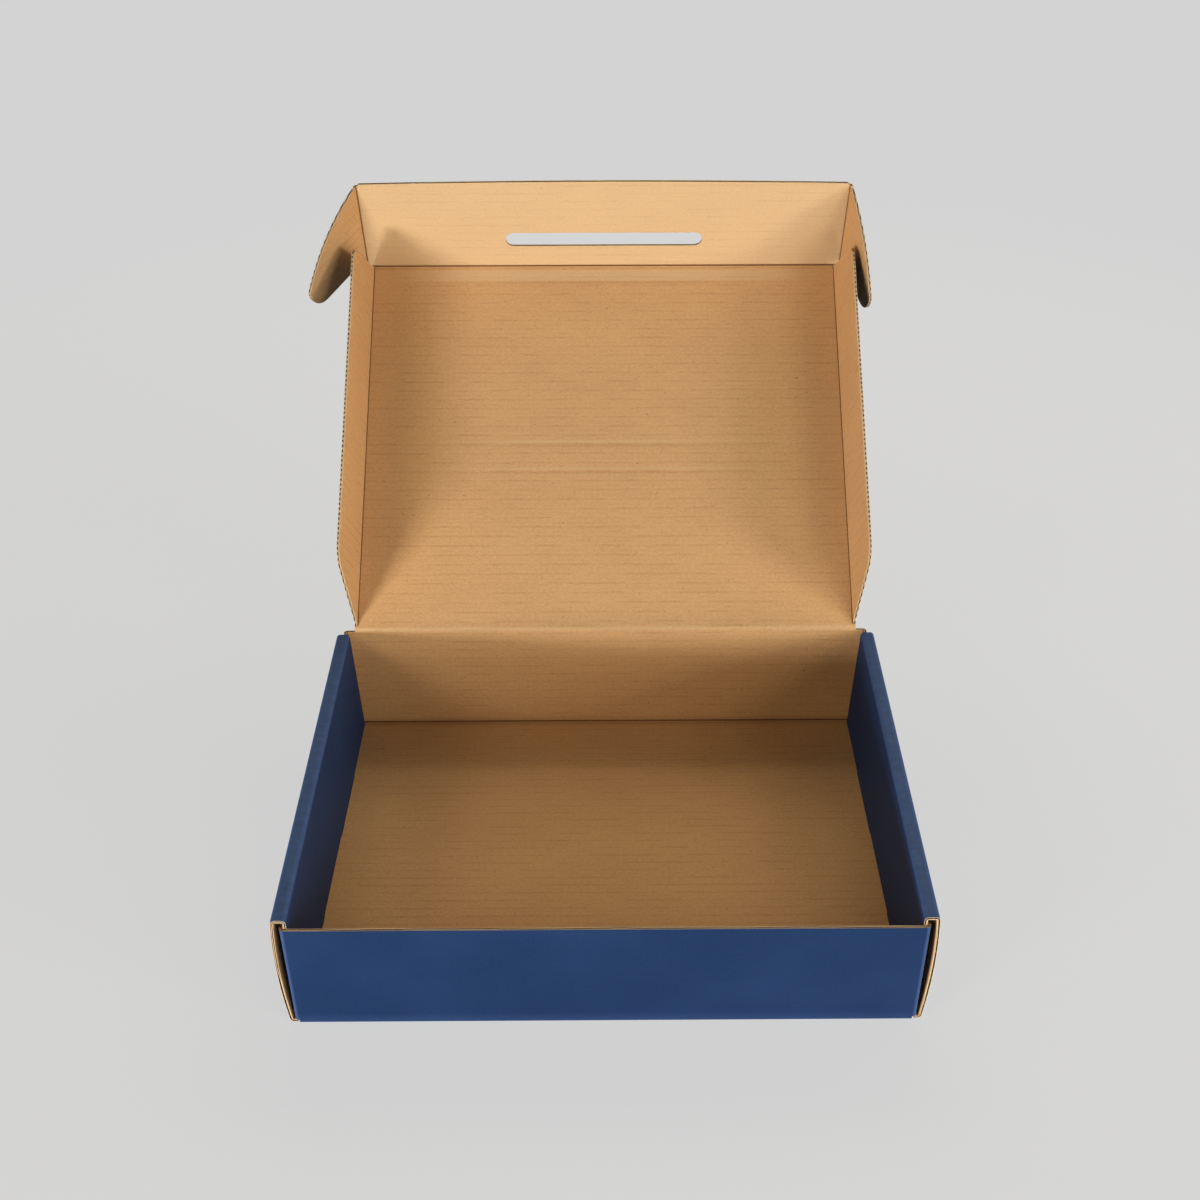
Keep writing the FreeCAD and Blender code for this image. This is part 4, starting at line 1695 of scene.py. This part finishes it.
        # Painted shade in the fold, and the flap's painted highlight growing along its strip.
        crease = Crease(self.board, self.plane, (-half, size.lid_length), (half, size.lid_length),
                        (0, 1), self.tuck_angle, size.fold_clear, size.fold_lap,
                        fold_shading=self.tuck_fold_shading, paling_and_highlight=self.tuck_highlight)
        return crease.build("tuck_crease", "lid", "tuck_flap", "tuck_flap")

    def ear(self, name: str, side: int) -> bpy.types.Object:
        """Ear panel: columns between its lower edge, round at the tip, and its bowed upper one.

        Each of the two round edges is an arc through three places.

        Args:
            name: Left or right.
            side: -1 or 1.

        Returns:
            The ear.
        """
        size = self.blank
        low, high = self.ear_low, self.tuck_height - self.tuck_corner
        foot = self.shoulder_foot + self.ear_foot_gap
        root, tip = np.array([0.0, high]), np.array([self.ear_length, self.ear_tip])
        chord = tip - root
        across = np.array([-chord[1], chord[0]]) / np.linalg.norm(chord)
        bowed = root + chord / 2 + across * self.ear_bow
        bow_centre, bow_radius = circle_through(tuple(root), tuple(bowed), tuple(tip))
        straight = self.ear_length - self.ear_tip_width
        nose = (self.ear_length - self.ear_tip_width / 4, low + (self.ear_tip - low) / 3)
        nose_centre, nose_radius = circle_through((straight, low), nose, tuple(tip))
        columns, rows = self.ear_net
        share = np.linspace(0, 1, columns)[:, None]
        out = self.ear_length - (self.ear_length - size.fold_lap) * (1 - share) ** 2
        drop = np.sqrt(np.maximum(nose_radius ** 2 - (out - nose_centre[0]) ** 2, 0))
        left = np.clip(1 - out / self.ear_foot_run, 0, 1)
        rise = low - (low - foot) * left ** self.ear_foot_curve
        lower = np.where(out < straight, rise, nose_centre[1] - drop)
        upper = bow_centre[1] + np.sqrt(bow_radius ** 2 - (out - bow_centre[0]) ** 2)
        y = size.lid_length + lower + (upper - lower) * np.linspace(0, 1, rows)
        x = np.broadcast_to(side * (size.ear_fold_half + out), y.shape)
        sheet = Sheet.from_grid(np.stack([x, y], axis=-1))
        fold_x = side * size.ear_fold_half
        plane = self.tuck_plane.folded((fold_x, size.lid_length), (fold_x, size.lid_length + 1),
                                       -side * self.ear_angles[name])
        piece = self.board.piece(f"ear_panel_{name}", sheet, plane.surface(sheet, size.board))
        return self.attach(piece, f"ear_{name}", f"ear_{name}")

    def ear_crease(self, name: str, side: int) -> bpy.types.Object:
        """Fold between the tuck flap and an ear.

        Args:
            name: Left or right.
            side: -1 or 1.

        Returns:
            The fold's strip.
        """
        size = self.blank
        fold_x = side * size.ear_fold_half
        low = size.lid_length + self.shoulder_foot + self.ear_foot_gap
        high = size.lid_length + self.tuck_height - self.tuck_corner
        crease = Crease(self.board, self.tuck_plane, (fold_x, low), (fold_x, high), (side, 0),
                        self.ear_angles[name], size.fold_clear, size.fold_lap,
                        fold_shading=self.faint_fold_shading)
        return crease.build(f"ear_crease_{name}", "tuck_flap", f"ear_{name}", f"ear_{name}")


@dataclass(frozen=True)
class Softbox:
    """One soft studio lamp.

    Attributes:
        name: Name of the lamp.
        place: Where it stands, in metres.
        aim: What it points at, in metres.
        size: Width and height of its face, in metres.
        power: Power in watts.
        colour: Linear colour.
    """

    name: str
    place: Triple
    aim: Triple
    size: Pair
    power: float
    colour: Colour = (1.0, 1.0, 1.0)

    def build(self) -> bpy.types.Object:
        """Put the lamp into the scene, turned towards what it lights.

        Returns:
            The lamp.
        """
        lamp = bpy.data.lights.new(self.name, "AREA")
        lamp.shape = "RECTANGLE"
        lamp.size, lamp.size_y = self.size
        lamp.energy = self.power
        lamp.color = self.colour
        item = bpy.data.objects.new(self.name, lamp)
        way = np.array(self.aim) - np.array(self.place)
        pan = math.atan2(-way[0], way[1])
        tilt = math.atan2(way[2], math.hypot(way[0], way[1]))
        item.location = self.place
        item.rotation_euler = (math.pi / 2 + tilt, 0.0, pan)
        bpy.context.scene.collection.objects.link(item)
        return item


@dataclass
class Studio:
    """Pale floor, soft lamps, plain surroundings and the camera.

    Attributes:
        grey: Colour of the floor and of what lies beyond it.
        glow: Colour that evens the floor out for the camera near the box.
        near: Distance from the box's middle at which the floor begins to be plain grey.
        far: Distance at which it is nothing else.
        glow_share: How much of the even tone the camera sees near the box, besides the shadow.
        floor_half: Half the floor's side, in metres.
        floor_roughness: Roughness of its paper.
        focal_length: Lens in millimetres, on the sensor's width.
        sensor: Width of the sensor in millimetres.
        clip_start: Distance in metres below which the camera sees nothing.
        camera_place: Where the camera stands, in metres.
        pitch: How far it looks down, in degrees.
        yaw: How far it looks to the right.
        roll: How far it leans.
        shift: Lens shift, as a share of the image's side.
        ambient: Share of the surroundings' grey that lights the box.
        lamps: The lamps: low ones in front, weaker ones above them and behind the box.
    """

    grey: Colour = to_linear(211, 211, 211)
    glow: Colour = to_linear(221, 221, 221)
    near: float = 0.55
    far: float = 1.2
    glow_share: float = 0.8
    floor_half: float = 8.0
    floor_roughness: float = 0.9
    focal_length: float = 49.08
    sensor: float = 36.0
    clip_start: float = 0.05
    camera_place: Triple = (0.00333, -0.68348, 0.62429)
    pitch: float = 34.92
    yaw: float = 0.41
    roll: float = 0.04
    shift: Pair = (-20 / 1200, 40 / 1200)
    ambient: float = 0.03
    lamps: tuple[Softbox, ...] = (
        Softbox("key", place=(-1.004, -1.065, 0.08), aim=(0.0, 0.05, 0.08),
                size=(0.4, 0.14), power=15.2, colour=COOL),
        Softbox("key_upper", place=(-1.004, -1.065, 0.75), aim=(0.0, 0.05, 0.15),
                size=(0.4, 0.5), power=5.3, colour=WARM),
        Softbox("fill", place=(0.704, -1.274, 0.08), aim=(0.0, 0.05, 0.08),
                size=(0.6, 0.14), power=5.7, colour=COOL),
        Softbox("fill_upper", place=(0.964, -1.099, 0.75), aim=(0.0, 0.05, 0.15),
                size=(0.4, 0.5), power=3.9, colour=WARM),
        Softbox("side", place=(1.272, -0.745, 0.325), aim=(0.0, 0.05, 0.15),
                size=(0.4, 0.35), power=9.0),
        Softbox("edge", place=(0.919, 0.821, 1.0), aim=(0.0, 0.0, 0.05),
                size=(0.7, 0.7), power=4.0, colour=WARM),
        Softbox("back", place=(0.0, 1.19, 1.2), aim=(0.0, 0.0, 0.05),
                size=(1.4, 0.7), power=11.3, colour=WARM),
    )

    def build(self) -> None:
        """Build the floor, the lamps, the world and the camera."""
        bpy.context.scene.view_settings.view_transform = "Standard"
        self.floor()
        for lamp in self.lamps:
            lamp.build()
            log.info("lamp %s: %.0f W", lamp.name, lamp.power)
        self.world()
        self.camera()

    def floor(self) -> bpy.types.Object:
        """Pale floor that keeps the box's shadow, and is plain grey to the camera farther off.

        Returns:
            The floor.
        """
        half = self.floor_half
        mesh = bpy.data.meshes.new("floor")
        corners = np.array([[-half, -half, 0], [half, -half, 0], [half, half, 0], [-half, half, 0]])
        mesh.from_pydata(corners, [], [(0, 1, 2, 3)])
        shader = Shader("floor_paper")
        shader.surface.inputs["Base Color"].default_value = (*self.grey, 1.0)
        shader.surface.inputs["Roughness"].default_value = self.floor_roughness
        shader.surface.inputs["Specular IOR Level"].default_value = 0.0
        place = shader.node("ShaderNodeTexCoord").outputs["Object"]
        length = shader.node("ShaderNodeVectorMath", {0: place}, operation="LENGTH")
        beyond = shader.steps(length.outputs["Value"], self.near, self.far)
        tone = shader.mix(beyond, self.glow, self.grey)
        glow = shader.node("ShaderNodeEmission", {"Color": tone, "Strength": 1.0})
        even = shader.math("MULTIPLY_ADD", beyond, 1 - self.glow_share, self.glow_share)
        share = shader.math("MULTIPLY", shader.seen(), even)
        inputs = {0: share, 1: shader.surface.outputs[0], 2: glow.outputs[0]}
        mixed = shader.node("ShaderNodeMixShader", inputs)
        shader.feed(shader.tree.nodes["Material Output"].inputs["Surface"], mixed.outputs[0])
        mesh.materials.append(shader.material)
        floor = bpy.data.objects.new("floor", mesh)
        bpy.context.scene.collection.objects.link(floor)
        return floor

    def world(self) -> None:
        """Grey surroundings that are also the soft ambient light."""
        world = bpy.data.worlds.new("surroundings")
        world.use_nodes = True
        nodes = Nodes(world.node_tree)
        sky = nodes.tree.nodes["Background"]
        inputs = {"Value": nodes.seen(), "To Min": self.ambient, "To Max": 1.0}
        strength = nodes.node("ShaderNodeMapRange", inputs)
        nodes.feed(sky.inputs["Color"], (*self.grey, 1.0))
        nodes.feed(sky.inputs["Strength"], strength.outputs["Result"])
        bpy.context.scene.world = world

    def camera(self) -> bpy.types.Object:
        """Camera at the height, distance and lens that the view needs.

        Returns:
            The camera.
        """
        lens = bpy.data.cameras.new("view")
        lens.lens = self.focal_length
        lens.sensor_width = self.sensor
        lens.shift_x, lens.shift_y = self.shift
        lens.clip_start = self.clip_start
        item = bpy.data.objects.new("view", lens)
        item.location = self.camera_place
        tilt = math.radians(90 - self.pitch)
        item.rotation_euler = (tilt, math.radians(self.roll), math.radians(-self.yaw))
        bpy.context.scene.collection.objects.link(item)
        bpy.context.scene.camera = item
        return item


def main() -> None:
    """Build the box and the studio round it."""
    logging.basicConfig(level=logging.INFO, format="%(message)s")
    blank = Blank()
    board = Board(blank.board, BoardFinish().build())
    pieces = Tray(blank, board).build() + Lid(blank, board).build()
    log.info("%d pieces of board", len(pieces))
    Studio().build()


if __name__ == "__main__":
    main()
